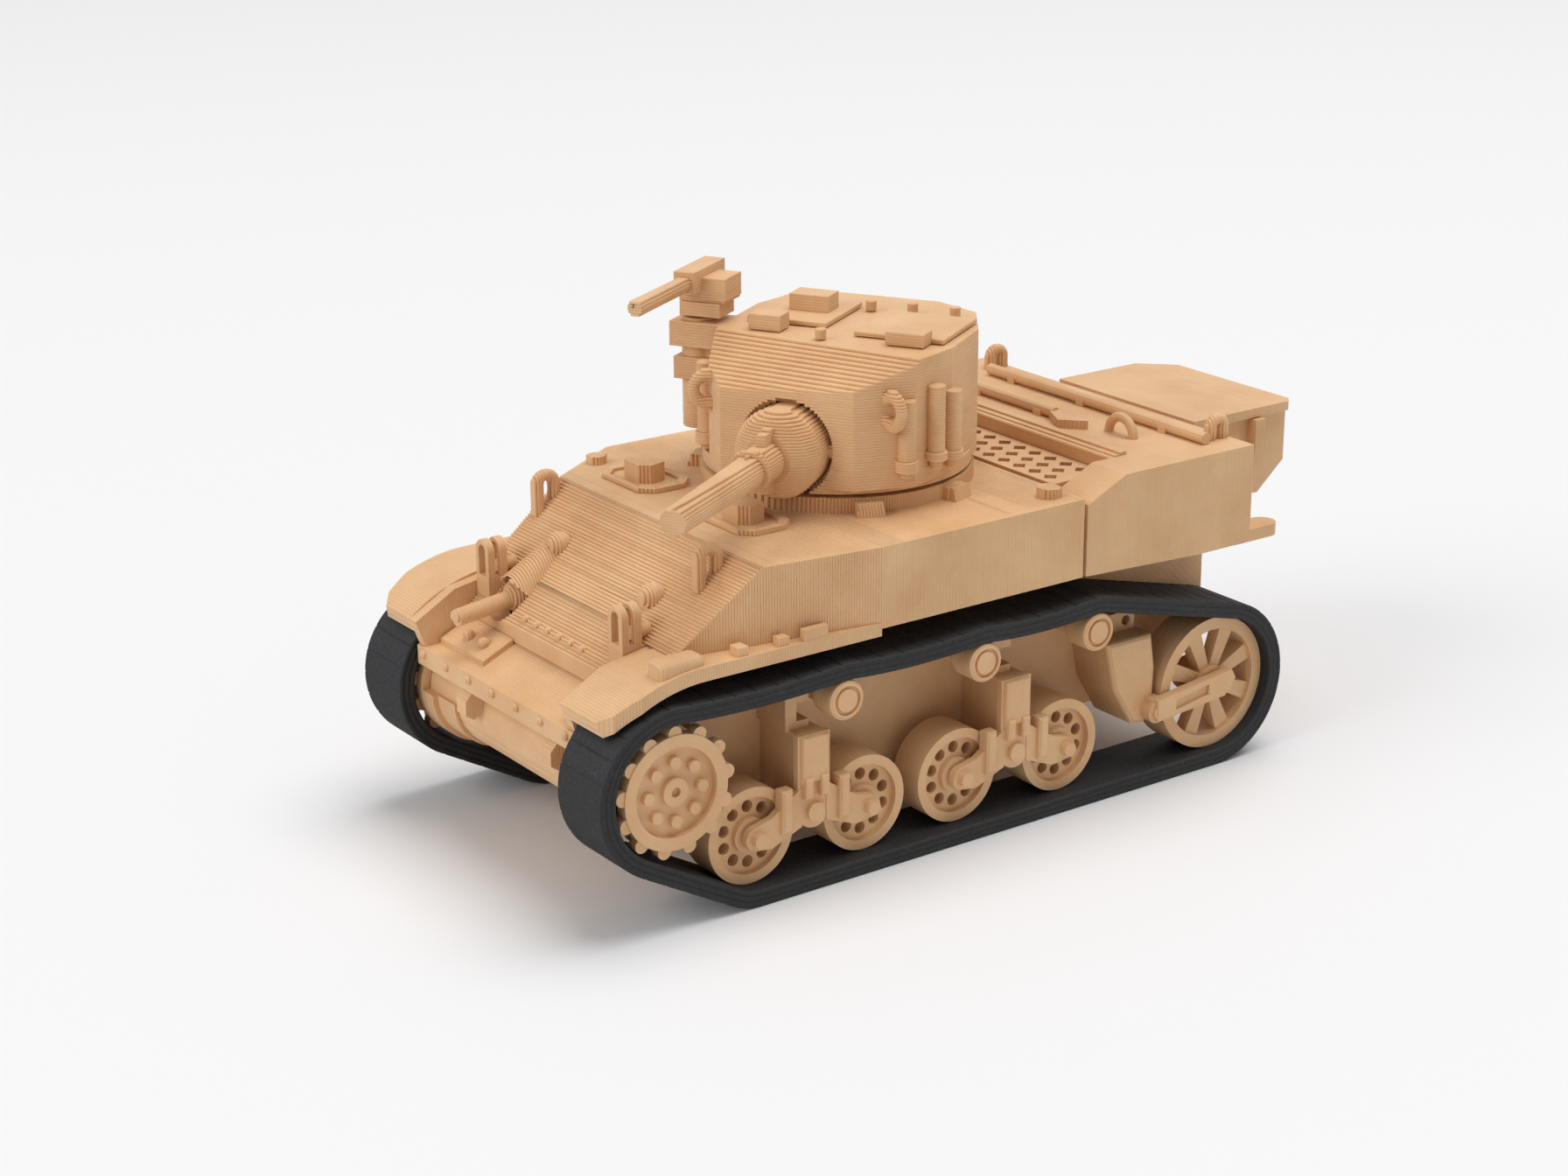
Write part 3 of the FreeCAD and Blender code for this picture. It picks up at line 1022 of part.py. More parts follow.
def build_pieces():
    """Every piece by its name, at its place on the tank."""
    pieces = {}
    pieces["lower_hull"] = make_lower_hull()
    pieces["upper_hull"] = make_upper_hull()
    pieces["fender_left"] = make_fender_left()
    pieces["fender_right"] = mirrored(make_fender())
    pieces["nose_cover"] = make_nose_cover()
    pieces["final_drive_left"] = make_final_drive()
    pieces["final_drive_right"] = mirrored(make_final_drive())
    pieces["tow_hooks"] = make_tow_hooks()
    pieces["driver_hatch_left"] = make_driver_hatch(5.2, -11.7)
    pieces["driver_hatch_right"] = make_driver_hatch(-6.6, -11.9)
    pieces["lift_loops"] = make_lift_loops()
    pieces["headlights"] = make_headlights()
    pieces["bow_gun"] = make_bow_gun()
    pieces["engine_deck"] = make_engine_deck()
    pieces["deck_grille"] = make_deck_grille()
    pieces["deck_tools"] = make_deck_tools()
    pieces["stowage_box"] = make_stowage_box()
    pieces["stowage_lid"] = make_stowage_lid()
    pieces["battery"] = make_battery()
    pieces["receiver_board"] = make_receiver_board()
    pieces["power_switch"] = make_power_switch()
    pieces["switch_lever"] = make_switch_lever()
    pieces["hull_screws"] = make_hull_screws()
    pieces["turret_shell"] = turret_pose(make_turret_shell())
    pieces["turret_hatches"] = turret_pose(make_turret_hatches())
    pieces["main_gun"] = turret_pose(make_main_gun())
    pieces["roof_gun"] = turret_pose(make_roof_gun())
    left = {"track": make_track(), "sprocket": make_sprocket(), "drive_gear": make_drive_gear(),
            "motor_pinion": make_motor_pinion(), "drive_motor": make_drive_motor(),
            "idler_arm": make_idler_arm(), "idler_wheel": make_idler(),
            "front_bogie": make_bogie(road_wheel_y[0], road_wheel_y[1]),
            "rear_bogie": make_bogie(road_wheel_y[2], road_wheel_y[3])}
    for count, y in enumerate(road_wheel_y):
        left["road_wheel_%d" % (count + 1)] = make_road_wheel(y)
    for count, y in enumerate(roller_y):
        left["return_roller_%d" % (count + 1)] = make_roller(y)
    for name, shape in left.items():
        pieces[name + "_left"] = shape
        pieces[name + "_right"] = mirrored(shape)
    for shape in pieces.values():
        shape.translate(Vector(0, origin_y, 0))
    return pieces


os.makedirs("parts", exist_ok=True)
pieces = build_pieces()
for name, shape in pieces.items():
    if not shape.isValid() or not shape.Solids:
        print("look at", name)
    shape.exportStep("parts/%s.step" % name)
print(len(pieces), "pieces")
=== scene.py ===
# %% [markdown]
# A small tank comes off a hobby printer as thin ribs of tan plastic, with two soft black belts for tracks.
# The CAD model already has every piece in its real place, in metres, so this lesson only dresses it.
# We keep the solids where they are, slice the hull and the turret into printed layers, and give every
# piece a finish made from nodes. The first cell loads the solids and reads the box of any of them on call,
# for the slicing and the belts later.

# %% Load the solids
import math
import bmesh
import bpy
from mathutils import Matrix, Vector, noise


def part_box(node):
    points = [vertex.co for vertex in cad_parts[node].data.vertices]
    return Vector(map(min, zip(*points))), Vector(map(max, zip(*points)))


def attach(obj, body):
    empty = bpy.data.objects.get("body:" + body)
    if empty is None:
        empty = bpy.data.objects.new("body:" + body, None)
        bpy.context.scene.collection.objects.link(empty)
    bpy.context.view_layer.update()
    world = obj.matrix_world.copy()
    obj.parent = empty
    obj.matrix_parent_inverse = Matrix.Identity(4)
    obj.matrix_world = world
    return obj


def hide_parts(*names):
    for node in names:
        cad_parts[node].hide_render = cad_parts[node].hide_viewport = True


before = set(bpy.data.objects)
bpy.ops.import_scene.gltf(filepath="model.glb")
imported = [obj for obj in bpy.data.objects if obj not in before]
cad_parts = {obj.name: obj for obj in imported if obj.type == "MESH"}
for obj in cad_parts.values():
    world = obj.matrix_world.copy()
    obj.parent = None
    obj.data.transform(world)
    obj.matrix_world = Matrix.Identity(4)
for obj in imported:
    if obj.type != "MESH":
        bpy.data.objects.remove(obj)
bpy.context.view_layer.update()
mm = 0.001

# %% [markdown]
# The camera stands in front of the tank, to its left, and looks down at about 19 degrees.
# A long lens keeps the far track nearly as large as the near one, as in a product picture.
# Its place was worked out from corners that the picture and the solids share, so it isn't aimed by eye.

# %% Camera
azimuth = math.radians(54.402)
elevation = math.radians(19.236)
roll = math.radians(-0.277)
away = Vector((math.sin(azimuth) * math.cos(elevation),
               -math.cos(azimuth) * math.cos(elevation),
               math.sin(elevation)))
across = Vector((math.cos(azimuth), math.sin(azimuth), 0))
upward = away.cross(across)
level, raised = across, upward
across = math.cos(roll) * level + math.sin(roll) * raised
upward = math.cos(roll) * raised - math.sin(roll) * level
camera_place = Vector((0.15905, -0.12228, 0.08345))
lens = bpy.data.cameras.new("long_lens")
lens.lens = 67.157
lens.sensor_width = 36
lens.sensor_fit = "HORIZONTAL"
lens.clip_start = 0.005
lens.clip_end = 20
camera = bpy.data.objects.new("camera", lens)
camera.matrix_world = Matrix.Translation(camera_place) @ Matrix((across, upward, away)).transposed().to_4x4()
bpy.context.scene.collection.objects.link(camera)
bpy.context.scene.camera = camera
bpy.context.scene.view_settings.view_transform = "Standard"
print("camera looks along", tuple(round(-x, 3) for x in away))

# %% [markdown]
# Colours in a picture are written as sRGB hex values, while the renderer adds light in linear numbers.
# One function turns the first into the second, so that every colour below can be read off a picture.
# A second small function adds one node with its settings and its links, and every finish is made with it.

# %% Colour and node helpers


def linear(colour):
    channels = [int(colour[i:i + 2], 16) / 255 for i in (1, 3, 5)]
    return [c / 12.92 if c <= 0.04045 else ((c + 0.055) / 1.055) ** 2.4 for c in channels] + [1.0]


def add(tree, kind, inputs=None, **settings):
    made = tree.nodes.new("ShaderNode" + kind)
    for name, value in settings.items():
        setattr(made, name, value)
    for name, value in (inputs or {}).items():
        if isinstance(value, bpy.types.NodeSocket):
            tree.links.new(value, made.inputs[name])
        else:
            made.inputs[name].default_value = value
    return made


def math_node(tree, operation, first, second=0.0):
    return add(tree, "Math", {0: first, 1: second}, operation=operation).outputs[0]


def new_finish(name):
    finish = bpy.data.materials.new(name)
    finish.use_nodes = True
    finish.node_tree.nodes.clear()
    return finish, finish.node_tree


print("tan filament in linear light:", [round(c, 3) for c in linear("#D8AA7B")[:3]])

# %% [markdown]
# The floor is one wide sheet of matte white card. Near the tank it is lit like any surface, so it keeps
# the soft shadow. Further off, the camera sees it fade to the white of the tent, and no horizon shows.
# The light is that of a photographer's tent: one wide lamp above and behind, a weaker one in front.

# %% Floor and light
card, tree = new_finish("white_card")
fleck = add(tree, "TexNoise", {"Scale": 6.0, "Detail": 2.0})
tone = add(tree, "Mix", {
    0: fleck.outputs["Fac"], 6: linear("#EDEDEE"), 7: linear("#F4F4F5")}, data_type="RGBA")
paper = add(tree, "BsdfPrincipled", {
    "Base Color": tone.outputs[2], "Roughness": 0.75, "Specular IOR Level": 0.25})
place = add(tree, "TexCoord")
reach = add(tree, "VectorMath", {0: place.outputs["Object"]}, operation="LENGTH")
fade = add(tree, "MapRange", {0: reach.outputs["Value"], 1: 0.30, 2: 0.90}, interpolation_type="SMOOTHSTEP")
ray = add(tree, "LightPath")
share = math_node(tree, "MULTIPLY", fade.outputs[0], ray.outputs["Is Camera Ray"])
haze = add(tree, "Emission", {"Color": linear("#EEEEF0"), "Strength": 1.0})
sheet = add(tree, "MixShader", {0: share, 1: paper.outputs[0], 2: haze.outputs[0]})
add(tree, "OutputMaterial", {"Surface": sheet.outputs[0]})
floor_mesh = bpy.data.meshes.new("floor")
floor_mesh.from_pydata([(-6, -6, 0), (6, -6, 0), (6, 6, 0), (-6, 6, 0)], [], [(0, 1, 2, 3)])
floor_mesh.materials.append(card)
floor = bpy.data.objects.new("floor", floor_mesh)
bpy.context.scene.collection.objects.link(floor)

room = bpy.data.worlds.new("tent")
bpy.context.scene.world = room
room.use_nodes = True
tree = room.node_tree
tree.nodes.clear()
seen = add(tree, "LightPath")
plain = add(tree, "Background", {"Color": linear("#FFFFFF"), "Strength": 0.36})
white = add(tree, "Background", {"Color": linear("#EEEEF0"), "Strength": 1.0})
straight = math_node(tree, "MAXIMUM", seen.outputs["Is Camera Ray"], seen.outputs["Is Glossy Ray"])
straight = math_node(tree, "MAXIMUM", straight, seen.outputs["Is Transmission Ray"])
both = add(tree, "MixShader", {0: straight, 1: plain.outputs[0], 2: white.outputs[0]})
add(tree, "OutputWorld", {"Surface": both.outputs[0]})


def lamp(name, place, aim, size, power):
    light = bpy.data.lights.new(name, "AREA")
    light.shape = "DISK"
    light.size = size
    light.energy = power
    placed = bpy.data.objects.new(name, light)
    placed.location = place
    placed.rotation_euler = (Vector(aim) - Vector(place)).to_track_quat("-Z", "Y").to_euler()
    bpy.context.scene.collection.objects.link(placed)


lamp("tent_top", (0.10, 0.32, 1.34), (0, 0, 0.015), 1.20, 12.8)
lamp("tent_front", (-0.10, -1.25, 0.80), (0, 0, 0.015), 1.00, 7.3)

# %% [markdown]
# The tan parts are PLA, laid down by a nozzle in layers 0.2 mm thick, each a flat bead with rounded edges.
# The eye sees fine ribs across the way the part was built, a matte skin with a little sheen on each bead,
# and on faces that lie along a layer, the slanted lines of the filling. We make one finish for each way
# of building: ribs from the layer count along one axis, and filling lines where the face looks along it.
# The grooves of both get painted shade, a darker tan that stands in for the shade that falls in them.

# %% Printed plastic
layer = 0.2 * mm
road = 0.42 * mm
fill_depth = 0.5
tan = linear("#D8AA7B")
tan_light = linear("#E6BC8E")
# painted shade: a darker tan laid into the grooves between beads and between fill lines, where shade falls
tan_groove_shade = linear("#B4875A")
axes = {"x": 0, "y": 1, "z": 2}


def printed_pla(name, built_along, rib_height, ribbed=True):
    """One finish for PLA; noise scales are per metre, so 900 drifts over 1 mm and 5200 is a 0.2 mm grain."""
    finish, tree = new_finish(name)
    place = add(tree, "TexCoord")
    parts = add(tree, "SeparateXYZ", {0: place.outputs["Object"]})
    facing = add(tree, "SeparateXYZ", {0: place.outputs["Normal"]})
    up = axes[built_along]
    sides = [i for i in range(3) if i != up]
    drift = add(tree, "TexNoise", {"Vector": place.outputs["Object"], "Scale": 900.0, "Detail": 2.0})
    wander = math_node(tree, "MULTIPLY", drift.outputs["Fac"], 0.22)
    count = math_node(tree, "ADD", math_node(tree, "MULTIPLY", parts.outputs[up], 1 / layer), wander)
    bead = math_node(tree, "ABSOLUTE", math_node(tree, "SINE", math_node(tree, "MULTIPLY", count, math.pi)))
    bead = math_node(tree, "POWER", bead, 0.45)
    which = add(tree, "TexWhiteNoise", {"W": math_node(tree, "FLOOR", count)}, noise_dimensions="1D")
    strength = math_node(tree, "ADD", math_node(tree, "MULTIPLY", which.outputs["Value"], 0.5), 0.6)
    ribs = math_node(tree, "MULTIPLY", bead, strength)
    slant = math_node(tree, "ADD", parts.outputs[sides[0]], parts.outputs[sides[1]])
    fill = math_node(tree, "MULTIPLY", slant, math.pi / (road * math.sqrt(2)))
    fill = math_node(tree, "POWER", math_node(tree, "ABSOLUTE", math_node(tree, "SINE", fill)), 0.5)
    along = math_node(tree, "ABSOLUTE", facing.outputs[up])
    flat = math_node(tree, "GREATER_THAN", along, 0.97)
    roads = math_node(tree, "ADD", math_node(tree, "MULTIPLY", fill, fill_depth), 1 - fill_depth)
    relief = add(tree, "Mix", {0: flat, 2: ribs if ribbed else 1.0, 3: roads}, data_type="FLOAT")
    grain = add(tree, "TexNoise", {"Vector": place.outputs["Object"], "Scale": 5200.0, "Detail": 3.0})
    speck = math_node(tree, "MULTIPLY", grain.outputs["Fac"], 0.12)
    height = math_node(tree, "ADD", relief.outputs[0], speck)
    cloud = add(tree, "TexNoise", {
        "Vector": place.outputs["Object"], "Scale": 130.0, "Detail": 4.0, "Roughness": 0.6})
    shade = add(tree, "MapRange", {0: cloud.outputs["Fac"], 1: 0.35, 2: 0.65})
    body = add(tree, "Mix", {0: shade.outputs[0], 6: tan, 7: tan_light}, data_type="RGBA")
    # painted shade: the lower the relief, the more the colour turns to the darker groove tan, so grooves look
    # shaded
    depth = add(tree, "MapRange", {0: relief.outputs[0], 1: 0.0, 2: 0.6, 3: 0.6, 4: 0.0})
    surface_colour = add(tree, "Mix", {0: depth.outputs[0], 6: body.outputs[2], 7: tan_groove_shade}, data_type="RGBA")
    gloss = add(tree, "MapRange", {0: grain.outputs["Fac"], 1: 0.3, 2: 0.7, 3: 0.46, 4: 0.62})
    bump = add(tree, "Bump", {"Height": height, "Distance": rib_height, "Strength": 0.8})
    skin = add(tree, "BsdfPrincipled", {
        "Base Color": surface_colour.outputs[2], "Roughness": gloss.outputs[0], "IOR": 1.46, "Normal": bump.outputs[0],
        "Subsurface Weight": 0.12, "Subsurface Radius": (1.0, 0.6, 0.35), "Subsurface Scale": 0.35 * mm})
    add(tree, "OutputMaterial", {"Surface": skin.outputs[0]})
    return finish


pla_along_y = printed_pla("pla_built_lengthwise", "y", 0.035 * mm)
pla_along_z = printed_pla("pla_built_upright", "z", 0.035 * mm)
pla_along_x = printed_pla("pla_built_sideways", "x", 0.03 * mm)
pla_layers_y = printed_pla("pla_layers_lengthwise", "y", 0.03 * mm, ribbed=False)
pla_layers_z = printed_pla("pla_layers_upright", "z", 0.03 * mm, ribbed=False)
print("PLA finishes:", [m.name for m in bpy.data.materials if m.name.startswith("pla")])

# %% [markdown]
# The tracks are printed too, but in TPU, a black rubbery plastic that bends around the wheels.
# The surface is darker and duller than PLA, with pale scuffs where it rubs. The ribs of the belts are
# shaped further down, so this finish holds only the colour, the scuffs and the fine grain.

# %% Soft black belt


def printed_tpu(name):
    finish, tree = new_finish(name)
    place = add(tree, "TexCoord")
    grain = add(tree, "TexNoise", {"Vector": place.outputs["Object"], "Scale": 4200.0, "Detail": 4.0})
    scuff = add(tree, "TexNoise", {
        "Vector": place.outputs["Object"], "Scale": 1700.0, "Detail": 6.0, "Roughness": 0.75})
    dust = add(tree, "MapRange", {0: scuff.outputs["Fac"], 1: 0.6, 2: 0.72, 3: 0.0, 4: 0.55})
    surface_colour = add(tree, "Mix", {0: dust.outputs[0], 6: linear("#101114"), 7: linear("#404246")}, data_type="RGBA")
    dull = add(tree, "MapRange", {0: grain.outputs["Fac"], 1: 0.3, 2: 0.7, 3: 0.55, 4: 0.72})
    bump = add(tree, "Bump", {"Height": grain.outputs["Fac"], "Distance": 0.02 * mm, "Strength": 0.7})
    skin = add(tree, "BsdfPrincipled", {
        "Base Color": surface_colour.outputs[2], "Roughness": dull.outputs[0], "IOR": 1.5, "Normal": bump.outputs[0]})
    add(tree, "OutputMaterial", {"Surface": skin.outputs[0]})
    return finish


tpu = printed_tpu("tpu_belt")
print("belt finish:", tpu.name)

# %% [markdown]
# Inside the hull sit the bought parts: a foil battery cell, a green board, a moulded switch, steel screws,
# drawn motor cans, brass pinions and nylon gears. They hardly show, but the inside can be opened, so each
# gets its own finish: a base colour, a roughness for how it was made and a fine bump at its real size.

# %% Bought parts


def simple_finish(name, dark, pale, roughness, metal, grain_size, rise, ior=1.5, stretch=(1, 1, 1)):
    finish, tree = new_finish(name)
    place = add(tree, "TexCoord")
    drawn = add(tree, "Mapping", {"Vector": place.outputs["Object"], "Scale": stretch})
    grain = add(tree, "TexNoise", {"Vector": drawn.outputs[0], "Scale": 1 / grain_size, "Detail": 4.0})
    tone = add(tree, "Mix", {0: grain.outputs["Fac"], 6: linear(dark), 7: linear(pale)}, data_type="RGBA")
    bump = add(tree, "Bump", {"Height": grain.outputs["Fac"], "Distance": rise, "Strength": 0.6})
    dull = add(tree, "MapRange", {0: grain.outputs["Fac"], 3: roughness - 0.08, 4: roughness + 0.08})
    inputs = {"Base Color": tone.outputs[2], "Roughness": dull.outputs[0], "Metallic": metal,
              "Normal": bump.outputs[0]}
    if not metal:
        inputs["IOR"] = ior
    skin = add(tree, "BsdfPrincipled", inputs)
    add(tree, "OutputMaterial", {"Surface": skin.outputs[0]})
    return finish


bought = {
    "cell_pouch": simple_finish("foil_pouch", "#9A9CA0", "#B9BBBE", 0.38, 1.0, 1.2 * mm, 0.04 * mm),
    "circuit_board": simple_finish("solder_mask", "#0F4A28", "#1B6B3C", 0.35, 0.0, 0.3 * mm, 0.01 * mm),
    "switch_plastic": simple_finish("moulded_abs", "#1C1C1F", "#2B2B2F", 0.5, 0.0, 0.15 * mm, 0.01 * mm),
    "screw_steel": simple_finish("zinc_plated_steel", "#A6A8AB", "#C4C6C9", 0.32, 1.0, 0.1 * mm, 0.005 * mm),
    "motor_can": simple_finish("drawn_steel", "#ABADB1", "#C9CBCE", 0.28, 1.0, 0.12 * mm, 0.005 * mm,
                               stretch=(0.1, 1, 1)),
    "pinion_brass": simple_finish("cut_brass", "#B8923F", "#D9B760", 0.3, 1.0, 0.08 * mm, 0.005 * mm),
    "gear_nylon": simple_finish("moulded_nylon", "#D9D5C6", "#E8E5D9", 0.45, 0.0, 0.3 * mm, 0.005 * mm,
                                ior=1.53),
}
print("bought finishes:", sorted(bought))

# %% [markdown]
# Each piece was printed a certain way up: the hull and guards lengthwise, so that their ribs run across;
# the turret and the gun upright, so that theirs are level; the tub and the running gear on their sides.
# The belts and the bought parts are told by the start of their names, and the rest by which way up they grew.

# %% Finish for every solid
upright = ["turret_shell", "turret_hatches", "main_gun", "roof_gun"]
lengthwise = ["upper_hull", "fender_left", "fender_right", "nose_cover", "tow_hooks", "driver_hatch_left",
              "driver_hatch_right", "lift_loops", "headlights", "bow_gun", "engine_deck", "deck_grille",
              "deck_tools", "stowage_box", "stowage_lid"]
special = {"track": tpu, "battery": bought["cell_pouch"], "receiver_board": bought["circuit_board"],
           "power_switch": bought["switch_plastic"], "switch_lever": bought["switch_plastic"],
           "hull_screws": bought["screw_steel"], "drive_motor": bought["motor_can"],
           "motor_pinion": bought["pinion_brass"], "drive_gear": bought["gear_nylon"]}
for name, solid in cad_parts.items():
    finish = pla_along_z if name in upright else pla_along_y if name in lengthwise else pla_along_x
    for start, other in special.items():
        if name.startswith(start):
            finish = other
    solid.data.materials.clear()
    solid.data.materials.append(finish)
print("solids with a finish:", sum(len(o.data.materials) == 1 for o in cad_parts.values()))

# %% [markdown]
# On a slope the layers show as real steps, like the contour lines of a hill: the front plate and the
# turret roof are covered with them. A bump can't step an outline, so these pieces are sliced as the
# printer does it: cut the solid at the middle of each layer, fill the cut, and give it the layer's
# thickness, with the edges of each slab drawn in a little so that it has the rounded side of a bead.

# %% Cut one layer out of a solid
edge_round = 0.03 * mm
side_pull = 0.35
layer_wander = 0.35
layer_shift = 0.013 * mm


def layer_cut(whole, normal, height):
    """Cut the solid's surface at one height and fill the cut with flat faces."""
    cut = whole.copy()
    bmesh.ops.bisect_plane(cut, geom=cut.verts[:] + cut.edges[:] + cut.faces[:], dist=1e-8,
                           plane_co=normal * height, plane_no=normal, clear_inner=True, clear_outer=True)
    if len(cut.edges) >= 3:
        bmesh.ops.remove_doubles(cut, verts=cut.verts, dist=2e-7)
        bmesh.ops.triangle_fill(cut, use_beauty=False, use_dissolve=False, edges=cut.edges[:], normal=normal)
        cut.verts.index_update()
        for face in cut.faces:
            if face.normal.dot(normal) < 0:
                face.normal_flip()
    return cut


def rim_of(cut, normal):
    """List the edges round a cut, each with its two ends in the turn of its face, and the way in from each of
    its corners.
    """
    rim, inward = [], {}
    for edge in cut.edges:
        if len(edge.link_faces) != 1:
            continue
        loop = next(loop for loop in edge.link_faces[0].loops if loop.edge == edge)
        a, b = loop.vert, loop.link_loop_next.vert
        rim.append((a.index, b.index))
        side = normal.cross(b.co - a.co)
        if side.length > 1e-9:
            side.normalize()
            for v in (a, b):
                inward[v.index] = inward.get(v.index, Vector()) + side
    for side in inward.values():
        if side.length > 1e-6:
            side.normalize()
    return rim, inward


def built(name, points, faces, finish, turn_out=False):
    """Make an object from corners and faces, without the corners that no face uses."""
    mesh = bpy.data.meshes.new(name)
    mesh.from_pydata(points, [], faces)
    tidy = bmesh.new()
    tidy.from_mesh(mesh)
    bmesh.ops.delete(tidy, geom=[v for v in tidy.verts if not v.link_faces], context="VERTS")
    if turn_out:
        bmesh.ops.recalc_face_normals(tidy, faces=tidy.faces)
    tidy.to_mesh(mesh)
    tidy.free()
    mesh.materials.append(finish)
    piece = bpy.data.objects.new(name, mesh)
    bpy.context.scene.collection.objects.link(piece)
    return piece


print("layer:", round(layer / mm, 3), "mm, edge drawn in by", round(edge_round / mm, 3), "mm")

# %% [markdown]
# Each cut becomes a slab with four rings of corners: the outer two are drawn in, which rounds the bead.
# No two layers of a real print line up, so each slab is also pulled in or out by a hair, worked out from
# its number and the same on each run.

# %% Slice a solid into printed layers


def sliced(node, built_along, body, finish):
    up = axes[built_along]
    normal = Vector((0, 0, 0))
    normal[up] = 1
    whole = bmesh.new()
    whole.from_mesh(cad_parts[node].data)
    bmesh.ops.remove_doubles(whole, verts=whole.verts, dist=1e-7)
    low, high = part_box(node)
    first = math.floor((low[up] - layer_shift) / layer)
    last = math.ceil((high[up] - layer_shift) / layer)
    points, faces = [], []
    for number in range(first, last):
        cut = layer_cut(whole, normal, (number + 0.5) * layer + layer_shift)
        bottom = max(number * layer + layer_shift, low[up])
        top = min((number + 1) * layer + layer_shift, high[up])
        if len(cut.edges) < 3 or not cut.faces or top - bottom < 1e-6:
            cut.free()
            continue
        rim, inward = rim_of(cut, normal)
        pull = layer_wander * noise.noise(Vector((number * 0.73, 0.5, 0.5))) * edge_round
        start = len(points)
        count = len(cut.verts)
        quarter = 0.25 * (top - bottom)
        rings = [(bottom, edge_round), (bottom + quarter, 0.0), (top - quarter, 0.0), (top, edge_round)]
        for height, draw in rings:
            for v in cut.verts:
                spot = v.co + inward.get(v.index, Vector()) * (draw + pull + edge_round * side_pull)
                spot[up] = height
                points.append(spot)
        for face in cut.faces:
            ids = [v.index for v in face.verts]
            faces.append([start + i for i in reversed(ids)])
            faces.append([start + 3 * count + i for i in ids])
        for a, b in rim:
            for ring in range(3):
                here = start + ring * count
                faces.append([here + a, here + b, here + count + b, here + count + a])
        cut.free()
    whole.free()
    piece = built(node + "_layers", points, faces, finish)
    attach(piece, body)
    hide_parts(node)
    print(node, "has", last - first, "layers and", len(piece.data.polygons), "faces")


for node in ("upper_hull", "bow_gun", "lift_loops", "headlights", "driver_hatch_left", "driver_hatch_right"):
    sliced(node, "y", "hull", pla_layers_y)
sliced("turret_shell", "z", "turret", pla_layers_z)
sliced("turret_hatches", "z", "turret", pla_layers_z)
sliced("main_gun", "z", "gun", pla_layers_z)
sliced("roof_gun", "z", "roof_gun", pla_layers_z)

# %% [markdown]
# A belt is laid down on its side: each layer is a closed line of beads that follows the belt round.
# So its flat side shows a few lines that run along it, and its outer face shows one fine rib per layer.
# We read the belt's outline off the solid, walk along it in small steps and carry the section round,
# with a shallow cut across the outer face at every pad.

# %% Walk round a belt
bead_width = 0.4 * mm
rib_depth = 0.03 * mm
side_groove = 0.06 * mm
pad_pitch = 1.7 * mm
pad_groove = 0.07 * mm
groove_half = 0.1 * mm
pad_steps = [0.5 * mm, 0.85 * mm, 1.25 * mm]


def belt_loops(node, side_x):
    """Find the closed edges of a belt's flat side, the outer one first."""
    whole = bmesh.new()
    whole.from_mesh(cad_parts[node].data)
    bmesh.ops.remove_doubles(whole, verts=whole.verts, dist=1e-7)
    next_to = {}
    for edge in whole.edges:
        on_side = all(abs(v.co.x - side_x) < 1e-6 for v in edge.verts)
        if on_side and any(abs(face.normal.x) < 0.5 for face in edge.link_faces):
            a, b = (tuple(v.co) for v in edge.verts)
            next_to.setdefault(a, []).append(b)
            next_to.setdefault(b, []).append(a)
    whole.free()
    loops = []
    while next_to:
        here = min(next_to, key=lambda spot: (spot[2], spot[1]))
        loop = [here]
        while True:
            onward = [spot for spot in next_to.pop(here) if spot in next_to]
            if not onward:
                break
            here = max(onward, key=lambda spot: spot[1]) if len(loop) == 1 else onward[0]
            loop.append(here)
        loops.append([Vector((0, y, z)) for x, y, z in loop])
    return loops


def walk(loop, places):
    """Give the spots that lie at these lengths along a closed loop."""
    lengths = [(b - a).length for a, b in zip(loop, loop[1:] + loop[:1])]
    spots, done, index = [], 0.0, 0
    for place in places:
        while done + lengths[index] < place and index < len(loop) - 1:
            done += lengths[index]
            index += 1
        share = (place - done) / lengths[index]
        spots.append(loop[index].lerp(loop[(index + 1) % len(loop)], min(share, 1.0)))
    return spots


print("belt bead:", round(bead_width / mm, 2), "mm, pad:", round(pad_pitch / mm, 2), "mm")

# %% [markdown]
# The section is a closed list of corners, each a depth below the outer face and a place across the belt:
# one rib per layer on the outer face, a few beads on the side, the ribs of the inner face, and the beads
# of the other side. It is set up at each step of the walk, square to the belt.

# %% Ribbed belts


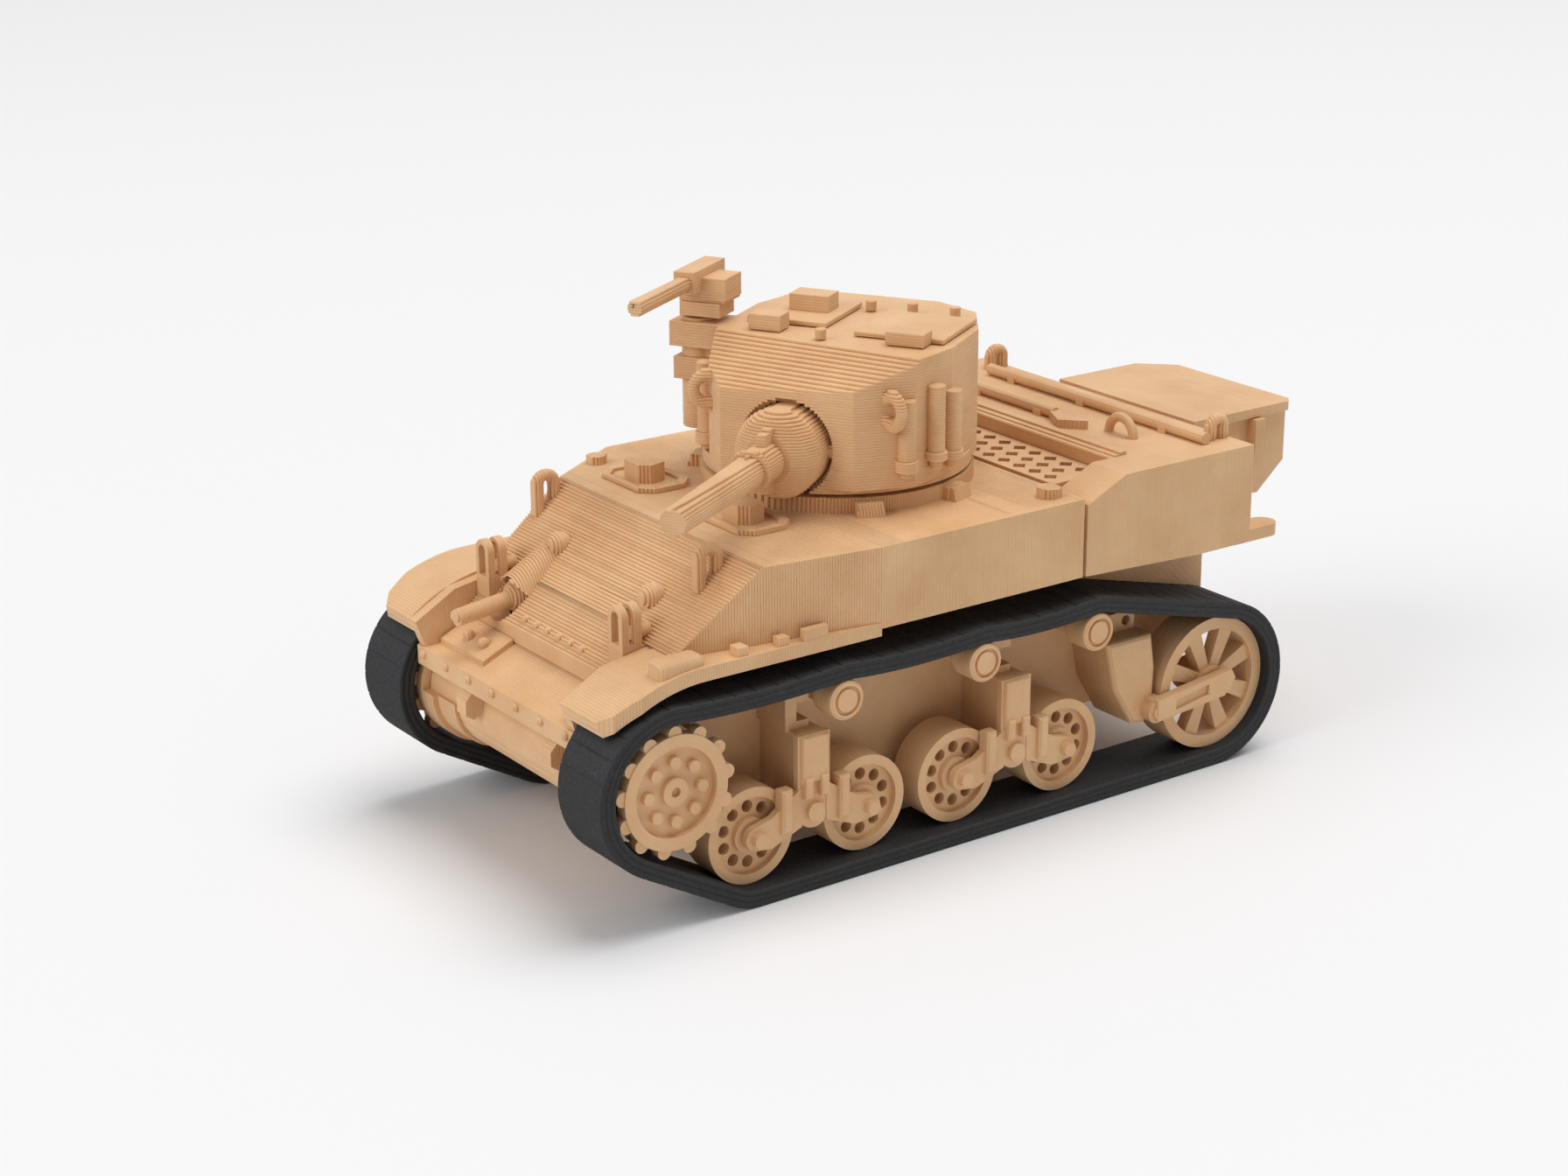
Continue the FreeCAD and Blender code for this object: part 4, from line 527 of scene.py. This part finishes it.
def belt_section(low_x, high_x, thickness):
    layers = round((high_x - low_x) / layer)
    rise = (high_x - low_x) / layers
    beads = round(thickness / bead_width)
    across = thickness / beads
    section = [(side_groove, low_x + side_groove), (0.0, low_x + 0.5 * rise)]
    for number in range(1, layers):
        section += [(rib_depth, low_x + number * rise), (0.0, low_x + (number + 0.5) * rise)]
    for number in range(beads):
        section += [(number * across + rib_depth, high_x - side_groove),
                    ((number + 0.3) * across, high_x),
                    ((number + 0.7) * across, high_x)]
    for number in range(layers):
        corner = side_groove if number == 0 else 0.0
        section += [(thickness - rib_depth, high_x - number * rise - corner),
                    (thickness, high_x - (number + 0.5) * rise)]
    for number in range(beads):
        section += [(thickness - number * across - rib_depth, low_x + side_groove),
                    (thickness - (number + 0.3) * across, low_x),
                    (thickness - (number + 0.7) * across, low_x)]
    return section


def ribbed_belt(node):
    low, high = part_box(node)
    outer, inner = belt_loops(node, high[0])[:2]
    thickness = min(spot.z for spot in inner) - min(spot.z for spot in outer)
    around = sum((b - a).length for a, b in zip(outer, outer[1:] + outer[:1]))
    pads = round(around / pad_pitch)
    pitch = around / pads
    marks = [0.0, groove_half] + pad_steps + [pitch - groove_half]
    spots = walk(outer, [pad * pitch + mark for pad in range(pads) for mark in marks])
    section = belt_section(low[0], high[0], thickness)
    points, faces = [], []
    count, total = len(section), len(spots)
    for index, spot in enumerate(spots):
        along = spots[(index + 1) % total] - spots[index - 1]
        inward = Vector((0, -along.z, along.y)).normalized()
        cut = pad_groove if index % len(marks) == 0 else 0.0
        for depth, x in section:
            deep = max(depth, cut) if depth < 0.5 * thickness else depth
            points.append((x, spot.y + inward.y * deep, spot.z + inward.z * deep))
    for index in range(total):
        here, there = index * count, (index + 1) % total * count
        for j in range(count):
            k = (j + 1) % count
            faces.append((here + j, there + j, there + k, here + k))
    piece = built(node + "_ribs", points, faces, tpu, turn_out=True)
    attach(piece, "hull")
    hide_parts(node)
    print(node, "is", round(around / mm, 1), "mm round, with", pads, "pads and", len(faces), "faces")


ribbed_belt("track_left")
ribbed_belt("track_right")
